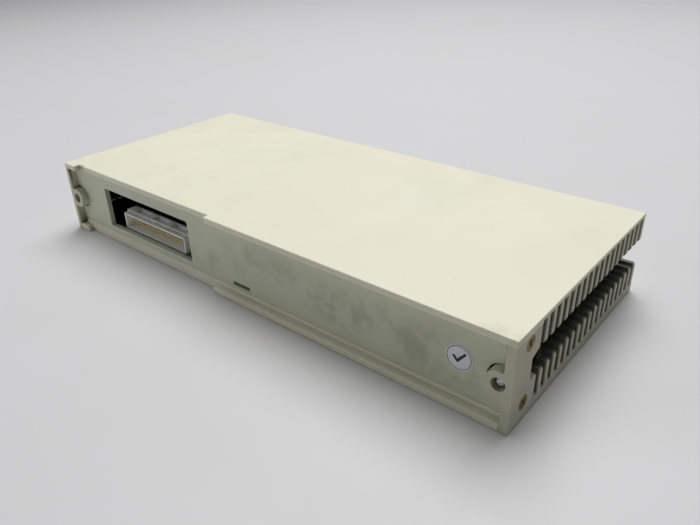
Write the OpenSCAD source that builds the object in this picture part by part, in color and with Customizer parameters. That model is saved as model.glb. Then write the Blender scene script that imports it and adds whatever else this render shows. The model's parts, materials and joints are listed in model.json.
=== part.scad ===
// Rack-mounting control module, lying on one broad side.
// X runs along the module's height when it hangs in a rack, with the bus connector towards -X.
// -Y is the rear, which plugs onto the backplane. +Y is the front, with its lamps and terminals.
// The origin is at the centre of the case's underside.

/* [Case] */
// Length of the case along X
case_length = 250; // [220:1:320]
// Depth of the case along Y, from the rear lips to the front frame
case_depth = 110; // [106:1:150]
// Thickness of the case along Z
case_thickness = 36; // [35:0.5:48]
// Skin of the upper broad side
top_skin = 2.5; // [1.8:0.1:3.2]
// Skin of the lower broad side
bottom_skin = 3; // [2:0.1:3.6]
// Distance from the left end to the notch in the rear lips
notch_start = 9.4; // [6:0.1:14]
// Length of the notch in the rear lips
notch_length = 100; // [80:1:120]
// Depth of the notch in the rear lips
notch_depth = 2.6; // [1:0.1:3]
// Height of the ridge that carries the rear panel
ridge_height = 2; // [1:0.1:3]

/* [Rear panel] */
// Distance from the rear lips to the face of the rear panel
panel_inset = 3.3; // [2.8:0.1:5]
// Thickness of the rear panel
panel_thickness = 2.3; // [1.6:0.1:3]
// Distance from the left end to the connector window
window_start = 28.1; // [24:0.1:34]
// Length of the connector window
window_length = 64.5; // [60:0.1:80]
// Height of the connector window
window_height = 20; // [14:0.1:22]
// Corner radius of the connector window
window_corner = 1; // [0.4:0.1:2]
// Distance from the left end to the board key slot
key_slot_start = 119.9; // [110:0.1:150]
// Length of the board key slot
key_slot_length = 10.1; // [6:0.1:16]
// Diameter of the inspection sticker
sticker_diameter = 10; // [6:0.5:14]
// Distance from the right end to the middle of the sticker
sticker_from_right = 20.5; // [16:0.1:40]

/* [End caps] */
// Depth of an end cap and its fins along X
cap_depth = 10; // [8.5:0.1:14]
// Outer wall of the right end cap
right_wall = 3.4; // [2:0.1:4]
// Outer wall of the left end cap
left_wall = 2.4; // [2:0.1:4]
// Depth of the solid corner block along Y
block_depth = 16.7; // [14:0.1:20]
// Depth of the boss in the corner block
boss_depth = 12; // [10:0.1:13.5]
// Diameter of a mounting boss
boss_diameter = 9.6; // [8.6:0.1:9.8]
// Diameter of the mounting hole
mount_hole = 5.1; // [4.6:0.1:5.6]
// Distance from an end of the case to the mounting hole
mount_from_end = 5; // [4.95:0.05:6]
// Distance between the fins
fin_pitch = 5.15; // [4:0.05:7]
// Thickness of a fin
fin_thickness = 2; // [1.2:0.1:2.6]
// Skin of the upper broad side over the slots between the fins
slot_skin = 1.6; // [1.2:0.1:1.8]
// Rounding of a fin's free outer corner
fin_rounding = 1.2; // [0.4:0.1:2]
// Rail under the lower fins
lower_rail = 4.1; // [3.8:0.1:5]
// Depth of the tool channel below the mounting hole's centre
channel_below = 4; // [3.8:0.1:5]
// Height of the tool channel above the mounting hole's centre
channel_above = 6; // [5:0.1:7]

/* [Screws] */
// Thread diameter of a mounting screw
mount_thread = 3.9; // [3:0.1:4.2]
// Neck diameter of a mounting screw
mount_neck = 2.8; // [2:0.1:3]
// Head diameter of a mounting screw
mount_head = 7; // [5:0.1:7.2]
// Length that a mounting screw comes out towards the backplane
mount_travel = 6.5; // [5:0.1:8]
// Thread diameter of an end cap screw
cap_screw_thread = 3; // [2:0.1:3.5]
// Head diameter of an end cap screw
cap_screw_head = 5.8; // [4:0.1:6.5]
// Thread diameter of a board screw
board_screw_thread = 2.6; // [2:0.1:3]

/* [Board] */
// Gap between the lower skin and the main board
board_lift = 3.3; // [3:0.1:5]
// Thickness of a circuit board
board_thickness = 1.6; // [1:0.1:2.4]
// Columns of pins in the bus connector
pin_columns = 20; // [12:1:22]
// Pitch of the pins in the bus connector
pin_pitch = 2; // [1.5:0.05:2.2]
// Height of the bus connector's shroud
shroud_height = 8.1; // [6:0.1:12]

/* [Front] */
// Thickness of the front frame
frame_thickness = 3; // [2.2:0.1:4]
// Length of the lamp window
lamp_window_length = 34; // [24:0.5:40]
// Height of the lamp window
lamp_window_height = 20; // [14:0.5:22]
// Columns of status lamps
lamp_columns = 8; // [4:1:8]
// Thickness of the terminal door
door_thickness = 1.6; // [1.2:0.1:2]
// Radius of the terminal door's hinge knuckle
knuckle_radius = 2; // [1.8:0.1:2.4]
// Diameter of a door hinge pin
hinge_pin = 1.8; // [1.2:0.1:2]
// Pitch of the terminals
terminal_pitch = 8; // [7:0.1:10]
// Diameter of a terminal screw's head
terminal_head = 5.6; // [4:0.1:6]

/* [Hidden] */
$fn = 48;

cream = "#E5E4CD";
shell_grey = "#D8D6C2";
steel = "#B9BABC";
brass = "#B08A4A";
board_green = "#1F5A3C";
black = "#232324";

// Room between pieces that are put together
fit_gap = 0.1;
// Room between a screw and the plain hole it passes through
hole_gap = 0.35;
// Room between a turning piece and its pin
running_gap = 0.05;
// Amount that a cut runs past a face
over = 1;

left = -case_length / 2;
right = case_length / 2;
rear = -case_depth / 2;
front = case_depth / 2;
mid_z = case_thickness / 2;
ceiling = case_thickness - top_skin;

panel_face = rear + panel_inset;
panel_back = panel_face + panel_thickness;
panel_low = bottom_skin + ridge_height;
panel_left = left + left_wall + 0.3;
panel_right = right - right_wall - 0.2;
step_depth = 1.2;
step_width = 0.2;
retainer_thickness = 1.5;
retainer_drop = 3;

board_low = bottom_skin + board_lift;
board_top = board_low + board_thickness;
board_left = left + cap_depth + 1;
board_right = right - cap_depth - 1;
board_rear = panel_back + 0.2;
tray_rear = front - 24;
board_front = tray_rear - 1;
lamp_board_front = front - 9;

mount_x = right - mount_from_end;
block_front_y = rear + block_depth;
boss_front = rear + boss_depth;
block_rear = panel_back + fit_gap;
channel_low = mid_z - channel_below;
channel_high = mid_z + channel_above;
channel_slope = 1.1;
pocket_wall = 1.4;
pocket_height = 8.8;
fin_first = block_front_y;
fin_count = floor((front - fin_first) / fin_pitch);
cap_inner = right - cap_depth;
slot_top = case_thickness - slot_skin;
// How far a fin's foot runs into the rail or the cover that carries it
fin_root = 0.1;
fin_short = right - fin_rounding;
cap_screw_y = rear + 9;
upper_screw_z = ceiling - cap_screw_head / 2 - 0.2;
lower_screw_z = bottom_skin + 4.7;
screw_boss_length = 8;
screw_boss_rear = rear + 7.4;
screw_boss_front = cap_screw_y + 3.8;
cap_screw_length = cap_depth + 6;
cap_screw_cone = 1.7;

bush_depth = 4;
bush_radius = 3;
left_set_back = 1.2;
tip_inset = 1.5;
screw_tip = rear + tip_inset;
// The thread fills the boss as far as the captive bush
thread_length = boss_depth - bush_depth - tip_inset - left_set_back - 0.3;
washer_thickness = 0.8;
head_height = 3;
washer_face = boss_front + mount_travel + 0.3;

window_left = left + window_start;
window_right = window_left + window_length;
window_top = board_top + window_height;
shroud_length = pin_columns * pin_pitch + 7.7;
shroud_middle = left + 60.2;
shroud_rear = panel_back + 0.9;
shroud_depth = 8;
shroud_wall = 0.9;
base_thickness = 3;
flange_over = 1.2;
pin_side = 0.6;

frame_left = left + cap_depth + 0.2;
frame_right = right - cap_depth - 0.2;
frame_back = front - frame_thickness;
lamp_left = frame_left + 4;
lamp_right = lamp_left + lamp_window_length;
lamp_low = bottom_skin + 5.5;
lamp_lip = 1;
lens_thickness = 2;
bay_left = lamp_right + 7;
bay_right = frame_right - 5;
bay_low = bottom_skin + 1.8;
bay_high = ceiling - 2.3;
tray_wall = 1.4;
tray_tab = 7;
door_gap = 0.8;
hinge_y = front - knuckle_radius;
hinge_z = bay_high - knuckle_radius - door_gap;
door_left = bay_left + 0.5;
door_right = bay_right - 0.5;
door_low = bay_low + 0.4;
pin_reach = 6;

block_left = bay_left + 0.6;
block_right = bay_right - 0.6;
block_low = bay_low + 1.2;
block_high = hinge_z - knuckle_radius - 0.6;
block_front = front - 11.5;
block_back = tray_rear + 2;
barrier_front = block_front + 4;
barrier_wall = 1.2;
lug_length = 8;
terminal_count = floor((block_right - block_left - 2 * lug_length) / terminal_pitch);
terminal_first = (block_left + block_right) / 2 - (terminal_count - 1) * terminal_pitch / 2;
terminal_z = (block_low + block_high) / 2;
clamp_side = 6.2;
clamp_thickness = 1;

standoff_x = [board_left + 12, 0, board_right - 12];
standoff_y = [rear + 26, board_front - 6.5];
standoff_radius = 3;

// Places of the parts on the main board
network_y = rear + 41;
coupler_y = rear + 50;
chip_y = rear + 32;
capacitor_y = rear + 34;
sink_y = board_front - 15;
sink_half = 62;
sink_height = 17;
sink_thickness = 2;
sink_flange = 7;
transistor_count = 8;
transistor_pitch = 14.5;
tab_thickness = 1.3;
transistor_depth = 3.2;
fuse_x = board_right - 40;
fuse_y = rear + 19;
fuse_z = board_top + 5.5;
fuse_reach = 7.5;
fuse_cap_radius = 2.65;

shield_thickness = 0.4;
shield_height = 16;
shield_left = board_left + 0.1;
shield_right = shroud_middle + shroud_length / 2 + 9;
shield_front = rear + 23;
shield_rear = shroud_rear + shroud_depth + 0.6;

// A box from its ranges along X, Y and Z
module slab(x, y, z) {
    translate([x[0], y[0], z[0]])
        cube([x[1] - x[0], y[1] - y[0], z[1] - z[0]]);
}

// A round rod along X, between x[0] and x[1]
module rod_x(radius, x, y, z) {
    translate([x[0], y, z])
        rotate([0, 90, 0])
            cylinder(r = radius, h = x[1] - x[0]);
}

// A round rod along Y, between y[0] and y[1]
module rod_y(radius, x, y, z) {
    translate([x, y[0], z])
        rotate([-90, 0, 0])
            cylinder(r = radius, h = y[1] - y[0]);
}

// A round rod along Z, between z[0] and z[1]
module rod_z(radius, x, y, z) {
    translate([x, y, z[0]])
        cylinder(r = radius, h = z[1] - z[0]);
}

// Its children at the right end and, mirrored, at the left end
module both_ends() {
    children();
    mirror([1, 0, 0])
        children();
}

// The notch that sets both rear lips back beside the connector
module lip_notch(z) {
    slab([left + notch_start, left + notch_start + notch_length],
        [rear - over, rear + notch_depth], z);
}

// The upper broad side with its fins, a rib for the rear panel and two screw bosses
module top_cover() {
    color(cream)
    difference() {
        union() {
            difference() {
                slab([left, right], [rear, front], [ceiling, case_thickness]);
                both_ends()
                    slab([cap_inner, right + over], [block_front_y, front + over],
                        [ceiling - over, slot_top]);
            }
            slab([left + cap_depth + screw_boss_length, right - cap_depth - screw_boss_length],
                [panel_back, panel_back + retainer_thickness],
                [ceiling - retainer_drop, ceiling]);
            both_ends()
                slab([right - cap_depth - screw_boss_length, right - cap_depth],
                    [screw_boss_rear, screw_boss_front],
                    [upper_screw_z - 2.6, ceiling]);
            both_ends()
                for (k = [1 : fin_count])
                    upper_fin(fin_y(k));
        }
        lip_notch([ceiling - over, case_thickness + over]);
        both_ends()
            rod_x(cap_screw_thread / 2, [right - cap_screw_length - 0.5, right - cap_depth + over],
                cap_screw_y, upper_screw_z);
    }
}

// The lower broad side, with the ridge under the rear panel, standoffs and screw bosses
module bottom_cover() {
    color(cream)
    difference() {
        union() {
            slab([left + left_wall, right - right_wall], [rear, front], [0, bottom_skin]);
            slab([panel_left + 1, panel_right], [panel_face - 0.3, panel_back],
                [bottom_skin, panel_low]);
            slab([left + cap_depth + screw_boss_length, right - cap_depth - screw_boss_length],
                [panel_back, panel_back + retainer_thickness],
                [bottom_skin, board_low - 0.4]);
            both_ends()
                slab([right - cap_depth - screw_boss_length, right - cap_depth],
                    [screw_boss_rear, screw_boss_front],
                    [bottom_skin, lower_screw_z + 3]);
            for (x = standoff_x)
                for (y = standoff_y)
                    rod_z(standoff_radius, x, y, [bottom_skin, board_low]);
        }
        lip_notch([-over, bottom_skin + over]);
        both_ends()
            rod_x(cap_screw_thread / 2, [right - cap_screw_length - 0.5, right - cap_depth + over],
                cap_screw_y, lower_screw_z);
        for (x = standoff_x)
            for (y = standoff_y)
                rod_z(board_screw_thread / 2, x, y, [bottom_skin - 1.5, board_low + over]);
    }
}

// The recessed panel across the rear, cut away for the bosses, the connector and the board key
module rear_panel() {
    boss_clearance = boss_diameter / 2 + 0.8;
    through = [panel_face - over, panel_back + over];
    color(cream)
    difference() {
        slab([panel_left, panel_right], [panel_face, panel_back], [panel_low, ceiling]);
        rod_y(boss_clearance, mount_x, through, mid_z);
        rod_y(boss_clearance, -mount_x, through, mid_z);
        rounded_opening([window_left, window_right], through, [board_top + 0.1, window_top]);
        slab([left + key_slot_start, left + key_slot_start + key_slot_length], through,
            [board_low - 0.1, board_top + 0.2]);
        slab([mount_x + 0.2, panel_right + over], through, [mid_z + 2, mid_z + 8.3]);
    }
}

// A box-shaped cut with rounded corners along Y
module rounded_opening(x, y, z) {
    r = window_corner;
    slab([x[0] + r, x[1] - r], y, z);
    slab(x, y, [z[0] + r, z[1] - r]);
    for (cx = [x[0] + r, x[1] - r])
        for (cz = [z[0] + r, z[1] - r])
            rod_y(r, cx, y, cz);
}

// The rear face of fin number k
function fin_y(k) = fin_first + k * fin_pitch - fin_thickness;

// One end cap in place at the right end: corner block, boss, rail and the lower row of fins
module end_cap(wall) {
    difference() {
        union() {
            slab([right - wall, right], [rear, block_front_y], [0, ceiling]);
            slab([right - wall - step_width, right], [rear + step_depth, block_front_y],
                [bottom_skin, ceiling]);
            difference() {
                slab([cap_inner, right], [block_rear, block_front_y], [bottom_skin, ceiling]);
                slab([cap_inner - over, right - wall - step_width],
                    [block_rear - over, boss_front - pocket_wall],
                    [mid_z, mid_z + pocket_height]);
            }
            rod_y(boss_diameter / 2, mount_x, [rear, boss_front], mid_z);
            slab([right - wall, right], [rear, front], [0, lower_rail]);
            slab([cap_inner, right], [block_front_y - over, front], [bottom_skin, lower_rail]);
            for (k = [1 : fin_count])
                lower_fin(fin_y(k));
        }
        channel_end();
        rod_y(mount_hole / 2, mount_x, [rear - over, boss_front - bush_depth], mid_z);
        rod_y(bush_radius, mount_x, [boss_front - bush_depth, boss_front + over], mid_z);
        for (z = [lower_screw_z, upper_screw_z])
            cap_screw_hole(z);
    }
}

// The rear end of the tool channel, which slopes up from the boss to the fins
module channel_end() {
    translate([cap_inner - over, 0, 0])
        rotate([90, 0, 90])
            linear_extrude(cap_depth + 2 * over)
                polygon([[boss_front, channel_low], [block_front_y + over, channel_low],
                    [block_front_y + over, channel_high + channel_slope],
                    [boss_front, channel_high - channel_slope]]);
}

// A fin that stands on the end cap's rail, with its rear face at y
module lower_fin(y) {
    across = [y, y + fin_thickness];
    slab([cap_inner, fin_short], across, [lower_rail - fin_root, channel_low]);
    slab([cap_inner, right], across, [lower_rail - fin_root, channel_low - fin_rounding]);
    rod_y(fin_rounding, fin_short, across, channel_low - fin_rounding);
}

// A fin that hangs from the top cover, with its rear face at y
module upper_fin(y) {
    across = [y, y + fin_thickness];
    slab([cap_inner, fin_short], across, [channel_high, slot_top + fin_root]);
    slab([cap_inner, right], across, [channel_high + fin_rounding, slot_top + fin_root]);
    rod_y(fin_rounding, fin_short, across, channel_high + fin_rounding);
}

// The countersunk hole for an end cap screw
module cap_screw_hole(z) {
    rod_x(cap_screw_thread / 2, [right - cap_depth - over, right + over], cap_screw_y, z);
    translate([right - cap_screw_cone, cap_screw_y, z])
        rotate([0, 90, 0])
            cylinder(r1 = cap_screw_thread / 2, r2 = cap_screw_head / 2, h = cap_screw_cone);
}

module right_end_cap() {
    color(cream)
        end_cap(right_wall);
}

module left_end_cap() {
    color(cream)
        mirror([1, 0, 0])
            end_cap(left_wall);
}

// One countersunk cross-head screw, in place in the right end cap
module cap_screw(z) {
    difference() {
        union() {
            rod_x(cap_screw_thread / 2, [right - cap_screw_length, right - cap_screw_cone],
                cap_screw_y, z);
            translate([right - cap_screw_cone, cap_screw_y, z])
                rotate([0, 90, 0])
                    cylinder(r1 = cap_screw_thread / 2, r2 = cap_screw_head / 2,
                        h = cap_screw_cone);
        }
        slab([right - 1.1, right + over], [cap_screw_y - 1.5, cap_screw_y + 1.5],
            [z - 0.35, z + 0.35]);
        slab([right - 1.1, right + over], [cap_screw_y - 0.35, cap_screw_y + 0.35],
            [z - 1.5, z + 1.5]);
    }
}

module end_cap_screws() {
    color(brass)
    both_ends()
        for (z = [lower_screw_z, upper_screw_z])
            cap_screw(z);
}

// Threaded bushes pressed into the bosses, which keep the mounting screws captive
module captive_bushes() {
    color(brass)
    both_ends()
        difference() {
            rod_y(bush_radius, mount_x, [boss_front - bush_depth, boss_front], mid_z);
            rod_y(mount_neck / 2 + hole_gap, mount_x,
                [boss_front - bush_depth - over, boss_front + over], mid_z);
        }
}

// A washer under a mounting screw's head
module screw_washer(x, set_back) {
    face = washer_face + set_back;
    color(steel)
    difference() {
        rod_y(mount_head / 2 - 0.1, x, [face, face + washer_thickness], mid_z);
        rod_y(mount_neck / 2 + running_gap, x,
            [face - over, face + washer_thickness + over], mid_z);
    }
}

module left_screw_washer() {
    screw_washer(-mount_x, left_set_back);
}

module right_screw_washer() {
    screw_washer(mount_x, 0);
}

// A captive mounting screw: threaded tip, thinner neck and a cross-recessed cheese head
module mounting_screw(x, set_back) {
    tip = screw_tip + set_back;
    head_rear = washer_face + washer_thickness + set_back;
    head_front = head_rear + head_height;
    color(steel)
    difference() {
        union() {
            rod_y(mount_thread / 2 - 0.5, x, [tip, tip + 0.6], mid_z);
            rod_y(mount_thread / 2, x, [tip + 0.5, tip + thread_length], mid_z);
            rod_y(mount_neck / 2, x, [tip + thread_length - 0.1, head_rear + 0.1], mid_z);
            rod_y(mount_head / 2, x, [head_rear, head_front], mid_z);
        }
        slab([x - 2, x + 2], [head_front - 1.5, head_front + over], [mid_z - 0.45, mid_z + 0.45]);
        slab([x - 0.45, x + 0.45], [head_front - 1.5, head_front + over], [mid_z - 2, mid_z + 2]);
    }
}

module left_mounting_screw() {
    mounting_screw(-mount_x, left_set_back);
}

module right_mounting_screw() {
    mounting_screw(mount_x, 0);
}

// A round paper sticker on the rear panel
module inspection_sticker() {
    color("white")
        rod_y(sticker_diameter / 2, right - sticker_from_right,
            [panel_face - 0.15, panel_face], mid_z + 1);
}

// The main board, with a key that enters the rear panel and a tongue under the lamp board
module main_board() {
    notch_x = cap_depth + screw_boss_length + 0.6;
    color(board_green)
    difference() {
        union() {
            slab([board_left, board_right], [board_rear, board_front], [board_low, board_top]);
            slab([board_left, lamp_right + 2], [board_front - over, frame_back - 1],
                [board_low, board_top]);
            slab([left + key_slot_start + 0.3, left + key_slot_start + key_slot_length - 0.3],
                [panel_face + 0.6, board_rear + over], [board_low, board_top]);
        }
        both_ends()
            slab([right - notch_x, right], [board_rear - over, screw_boss_front + 0.6],
                [board_low - over, board_top + over]);
        for (x = standoff_x)
            for (y = standoff_y)
                rod_z(board_screw_thread / 2 + 0.2, x, y, [board_low - over, board_top + over]);
    }
}

// Pan-head screws that hold the main board on its standoffs
module board_screws() {
    color(steel)
    for (x = standoff_x)
        for (y = standoff_y)
            difference() {
                union() {
                    rod_z(board_screw_thread / 2, x, y, [board_low - 3.2, board_top]);
                    rod_z(2.5, x, y, [board_top, board_top + 1.8]);
                }
                slab([x - 1.4, x + 1.4], [y - 0.3, y + 0.3], [board_top + 0.9, board_top + 3]);
                slab([x - 0.3, x + 0.3], [y - 1.4, y + 1.4], [board_top + 0.9, board_top + 3]);
            }
}

// The bus connector's shroud: a rim round the pins, a thick base and three lightening pockets
module connector_shroud() {
    half = shroud_length / 2;
    top = board_top + shroud_height;
    pocket = shroud_length / 5;
    pocket_depth = 0.6;
    shroud_front = shroud_rear + shroud_depth;
    color("#E4E3DE")
    difference() {
        union() {
            slab([shroud_middle - half, shroud_middle + half],
                [shroud_rear, shroud_front], [board_top, top]);
            slab([shroud_middle - half - flange_over, shroud_middle + half + flange_over],
                [shroud_rear + 2.6, shroud_front], [board_top, top + 0.6]);
        }
        slab([shroud_middle - half + shroud_wall, shroud_middle + half - shroud_wall],
            [shroud_rear - over, shroud_front - base_thickness],
            [board_top + shroud_wall, top - shroud_wall]);
        for (k = [-1 : 1])
            slab([shroud_middle + k * pocket * 1.5 - pocket / 2,
                    shroud_middle + k * pocket * 1.5 + pocket / 2],
                [shroud_rear + 3.4, shroud_front - 1.2], [top - pocket_depth, top + over]);
        pin_places(shroud_front - base_thickness - over, shroud_front + over);
    }
}

// Square pins in two rows, from y0 to y1
module pin_places(y0, y1) {
    row_gap = shroud_height / 4;
    middle = board_top + shroud_height / 2;
    first = shroud_middle - (pin_columns - 1) * pin_pitch / 2;
    for (k = [0 : pin_columns - 1])
        for (s = [-0.5, 0.5])
            slab([first + k * pin_pitch - pin_side / 2, first + k * pin_pitch + pin_side / 2],
                [y0, y1],
                [middle + s * row_gap - pin_side / 2, middle + s * row_gap + pin_side / 2]);
}

module connector_pins() {
    color("#C69A3B")
        pin_places(shroud_rear + 0.9, shroud_rear + shroud_depth + 2.2);
}

// A row of boxes centred on x = middle, standing on the main board
module part_row(count, pitch, middle, y, size) {
    for (k = [0 : count - 1]) {
        x = middle + (k - (count - 1) / 2) * pitch;
        slab([x - size[0] / 2, x + size[0] / 2], [y - size[1] / 2, y + size[1] / 2],
            [board_top, board_top + size[2]]);
    }
}

module logic_chips() {
    color(black)
        part_row(5, 31, -22, chip_y, [25, 6.4, 4]);
}

module optocouplers() {
    color("#E8E6DC")
        part_row(7, 22, -12, coupler_y, [19, 6.4, 4]);
}

module resistor_networks() {
    color("#7A2E22")
        part_row(8, 21, -14, network_y, [17, 2.4, 6.5]);
}

// Two upright electrolytic capacitors with their crimped necks
module capacitors() {
    color("#2B3A5E")
    for (k = [0, 1])
        translate([board_right - 24 + k * 12, capacitor_y, board_top])
            rotate_extrude()
                polygon([[0, 0], [5, 0], [5, 1.4], [4.6, 1.8], [4.6, 2.4], [5, 2.8],
                    [5, 15.5], [4.5, 16], [0, 16]]);
}

// The angled bar that cools the driver transistors
module heat_sink() {
    top = board_top + sink_height;
    color("#3A3B3D") {
        slab([-sink_half, sink_half], [sink_y, sink_y + sink_thickness], [board_top, top]);
        slab([-sink_half, sink_half], [sink_y, sink_y + sink_flange],
            [top - sink_thickness, top]);
    }
}

// The transistors' metal tabs, flat against the heat sink
module transistor_tabs() {
    color(steel)
        part_row(transistor_count, transistor_pitch, 0, sink_y - tab_thickness / 2,
            [10, tab_thickness, 15.5]);
}

// The transistors' moulded bodies, in front of their tabs
module power_transistors() {
    color(black)
        part_row(transistor_count, transistor_pitch, 0,
            sink_y - tab_thickness - transistor_depth / 2, [10, transistor_depth, 9]);
}

// The glass tube of a cartridge fuse
module fuse_tube() {
    color([0.85, 0.9, 0.9, 0.5])
        rod_x(2.5, [fuse_x - 5, fuse_x + 5], fuse_y, fuse_z);
}

// The fuse's metal end caps
module fuse_caps() {
    color(steel)
    for (x = [fuse_x - fuse_reach, fuse_x + fuse_reach])
        rod_x(fuse_cap_radius, [x - 2.5, x + 2.5], fuse_y, fuse_z);
}

// The two spring clips that the fuse's end caps sit in
module fuse_clips() {
    color(steel)
    for (x = [fuse_x - fuse_reach, fuse_x + fuse_reach])
        difference() {
            slab([x - 2, x + 2], [fuse_y - 3.4, fuse_y + 3.4], [board_top, fuse_z + 1.8]);
            rod_x(fuse_cap_radius + running_gap, [x - 3, x + 3], fuse_y, fuse_z);
            slab([x - 3, x + 3], [fuse_y - 1.9, fuse_y + 1.9], [fuse_z, fuse_z + 5]);
        }
}

// The lamp board stands on the main board behind the lamp window
module lamp_board() {
    color(board_green)
        slab([lamp_left - 1.5, lamp_right + 1.5],
            [lamp_board_front - board_thickness, lamp_board_front],
            [board_top + 0.4, ceiling - 1]);
}

module lamp_header() {
    back = lamp_board_front - board_thickness;
    color("#C69A3B")
    for (k = [0 : 9]) {
        x = lamp_left + 6 + k * 2.54;
        slab([x - 0.3, x + 0.3], [back - 3, back], [board_top + 2, board_top + 2.6]);
        slab([x - 0.3, x + 0.3], [back - 3, back - 2.4], [board_top, board_top + 2.1]);
    }
}

// Status lamps in two rows
module status_lamps() {
    pitch = (lamp_window_length - 4) / lamp_columns;
    color("#B23A2E")
    for (k = [0 : lamp_columns - 1])
        for (r = [0, 1]) {
            x = lamp_left + 2 + (k + 0.5) * pitch;
            z = lamp_low + lamp_window_height / 2 + (r - 0.5) * 8;
            slab([x - 1.1, x + 1.1], [lamp_board_front, frame_back - 0.6], [z - 2.4, z + 2.4]);
        }
}

// The tinted lamp window, set flush in a rebate of the front frame
module lamp_window() {
    color([0.25, 0.1, 0.08, 0.7])
        slab([lamp_left, lamp_right], [front - lens_thickness, front - 0.2],
            [lamp_low, lamp_low + lamp_window_height]);
}

// The front frame: lamp opening, terminal bay, the tray walls behind it and the tray's end tabs
module front_frame() {
    color(shell_grey)
    difference() {
        union() {
            slab([frame_left, frame_right], [frame_back, front], [bottom_skin, ceiling]);
            slab([bay_left - tray_wall, bay_right + tray_wall], [tray_rear, frame_back + over],
                [bay_low - tray_wall, bay_high + tray_wall]);
        }
        difference() {
            slab([bay_left, bay_right], [tray_rear - over, front + over], [bay_low, bay_high]);
            for (x = [bay_left, bay_right - tray_tab])
                slab([x, x + tray_tab], [tray_rear, block_back], [bay_low, bay_high]);
        }
        for (x = [block_left + lug_length / 2, block_right - lug_length / 2])
            rod_y(1.25, x, [tray_rear - over, block_back + over], terminal_z);
        slab([lamp_left, lamp_right], [front - lens_thickness, front + over],
            [lamp_low, lamp_low + lamp_window_height]);
        slab([lamp_left + lamp_lip, lamp_right - lamp_lip], [frame_back - over, front + over],
            [lamp_low + lamp_lip, lamp_low + lamp_window_height - lamp_lip]);
        rod_x(hinge_pin / 2, [bay_left - 4, bay_left + over], hinge_y, hinge_z);
        rod_x(hinge_pin / 2, [bay_right - over, bay_right + 4], hinge_y, hinge_z);
    }
}

// The terminal block: base, end lugs and the barriers between the terminals
module terminal_block() {
    color(black)
    difference() {
        union() {
            slab([block_left, block_right], [block_back, block_front], [block_low, block_high]);
            for (k = [0 : terminal_count]) {
                x = terminal_first + (k - 0.5) * terminal_pitch;
                slab([x - barrier_wall / 2, x + barrier_wall / 2],
                    [block_front - over, barrier_front], [block_low, block_high]);
            }
        }
        for (x = [block_left + lug_length / 2, block_right - lug_length / 2]) {
            rod_y(1.6, x, [block_back - over, block_front + over], terminal_z);
            rod_y(3.2, x, [block_front - 3, block_front + over], terminal_z);
        }
        for (k = [0 : terminal_count - 1])
            rod_y(1.75, terminal_first + k * terminal_pitch,
                [block_front - 6, block_front + over], terminal_z);
    }
}

// Bent pins from the terminal block's back down to the main board
module terminal_tails() {
    color(steel)
    for (k = [0 : terminal_count - 1]) {
        x = terminal_first + k * terminal_pitch;
        slab([x - 0.5, x + 0.5], [board_front - 3, block_back], [board_top + 4, board_top + 5]);
        slab([x - 0.5, x + 0.5], [board_front - 3, board_front - 2], [board_top, board_top + 4.5]);
    }
}

// Square wire clamps under the terminal screws
module terminal_clamps() {
    color(steel)
    for (k = [0 : terminal_count - 1]) {
        x = terminal_first + k * terminal_pitch;
        difference() {
            slab([x - clamp_side / 2, x + clamp_side / 2],
                [block_front, block_front + clamp_thickness],
                [terminal_z - clamp_side / 2, terminal_z + clamp_side / 2]);
            rod_y(1.75, x, [block_front - over, block_front + clamp_thickness + over], terminal_z);
        }
    }
}

// Terminal screws with a slotted head
module terminal_screws() {
    seat = block_front + clamp_thickness;
    color(steel)
    for (k = [0 : terminal_count - 1]) {
        x = terminal_first + k * terminal_pitch;
        difference() {
            union() {
                rod_y(1.75, x, [block_front - 5, seat], terminal_z);
                rod_y(terminal_head / 2, x, [seat, seat + 2.2], terminal_z);
            }
            slab([x - terminal_head, x + terminal_head], [seat + 1.2, seat + 3],
                [terminal_z - 0.4, terminal_z + 0.4]);
        }
    }
}

// The two screws that hold the terminal block in its tray
module block_fixing_screws() {
    head_seat = block_front - 3;
    color(steel)
    for (x = [block_left + lug_length / 2, block_right - lug_length / 2])
        difference() {
            union() {
                rod_y(1.25, x, [tray_rear, head_seat], terminal_z);
                rod_y(2.8, x, [head_seat, head_seat + 2.4], terminal_z);
            }
            for (cross = [[1.6, 0.35], [0.35, 1.6]])
                slab([x - cross[0], x + cross[0]], [head_seat + 1.2, head_seat + 3],
                    [terminal_z - cross[1], terminal_z + cross[1]]);
        }
}

// The terminal door: plate, hinge knuckle, stiffening edge and a finger grip
module terminal_door() {
    middle = (door_left + door_right) / 2;
    color(cream)
    difference() {
        union() {
            slab([door_left, door_right], [front - door_thickness, front], [door_low, hinge_z]);
            rod_x(knuckle_radius, [door_left, door_right], hinge_y, hinge_z);
            slab([door_left, door_right], [front - 3.4, front - door_thickness + 0.5],
                [door_low, door_low + 1.4]);
        }
        slab([middle - 10, middle + 10], [front - 0.7, front + over],
            [door_low + 2.2, door_low + 6.2]);
        rod_x(hinge_pin / 2 + running_gap, [door_left - over, door_left + pin_reach],
            hinge_y, hinge_z);
        rod_x(hinge_pin / 2 + running_gap, [door_right - pin_reach, door_right + over],
            hinge_y, hinge_z);
    }
}

// Two steel pins fixed in the frame that carry the door
module door_hinge_pins() {
    color(steel) {
        rod_x(hinge_pin / 2, [bay_left - 4, door_left + pin_reach - 0.5], hinge_y, hinge_z);
        rod_x(hinge_pin / 2, [door_right - pin_reach + 0.5, bay_right + 4], hinge_y, hinge_z);
    }
}

// A blank wiring label on the inside of the door
module wiring_label() {
    color("white")
        slab([door_left + 8, door_right - 8],
            [front - door_thickness - 0.2, front - door_thickness],
            [door_low + 3.5, hinge_z - knuckle_radius - 2]);
}

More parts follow.
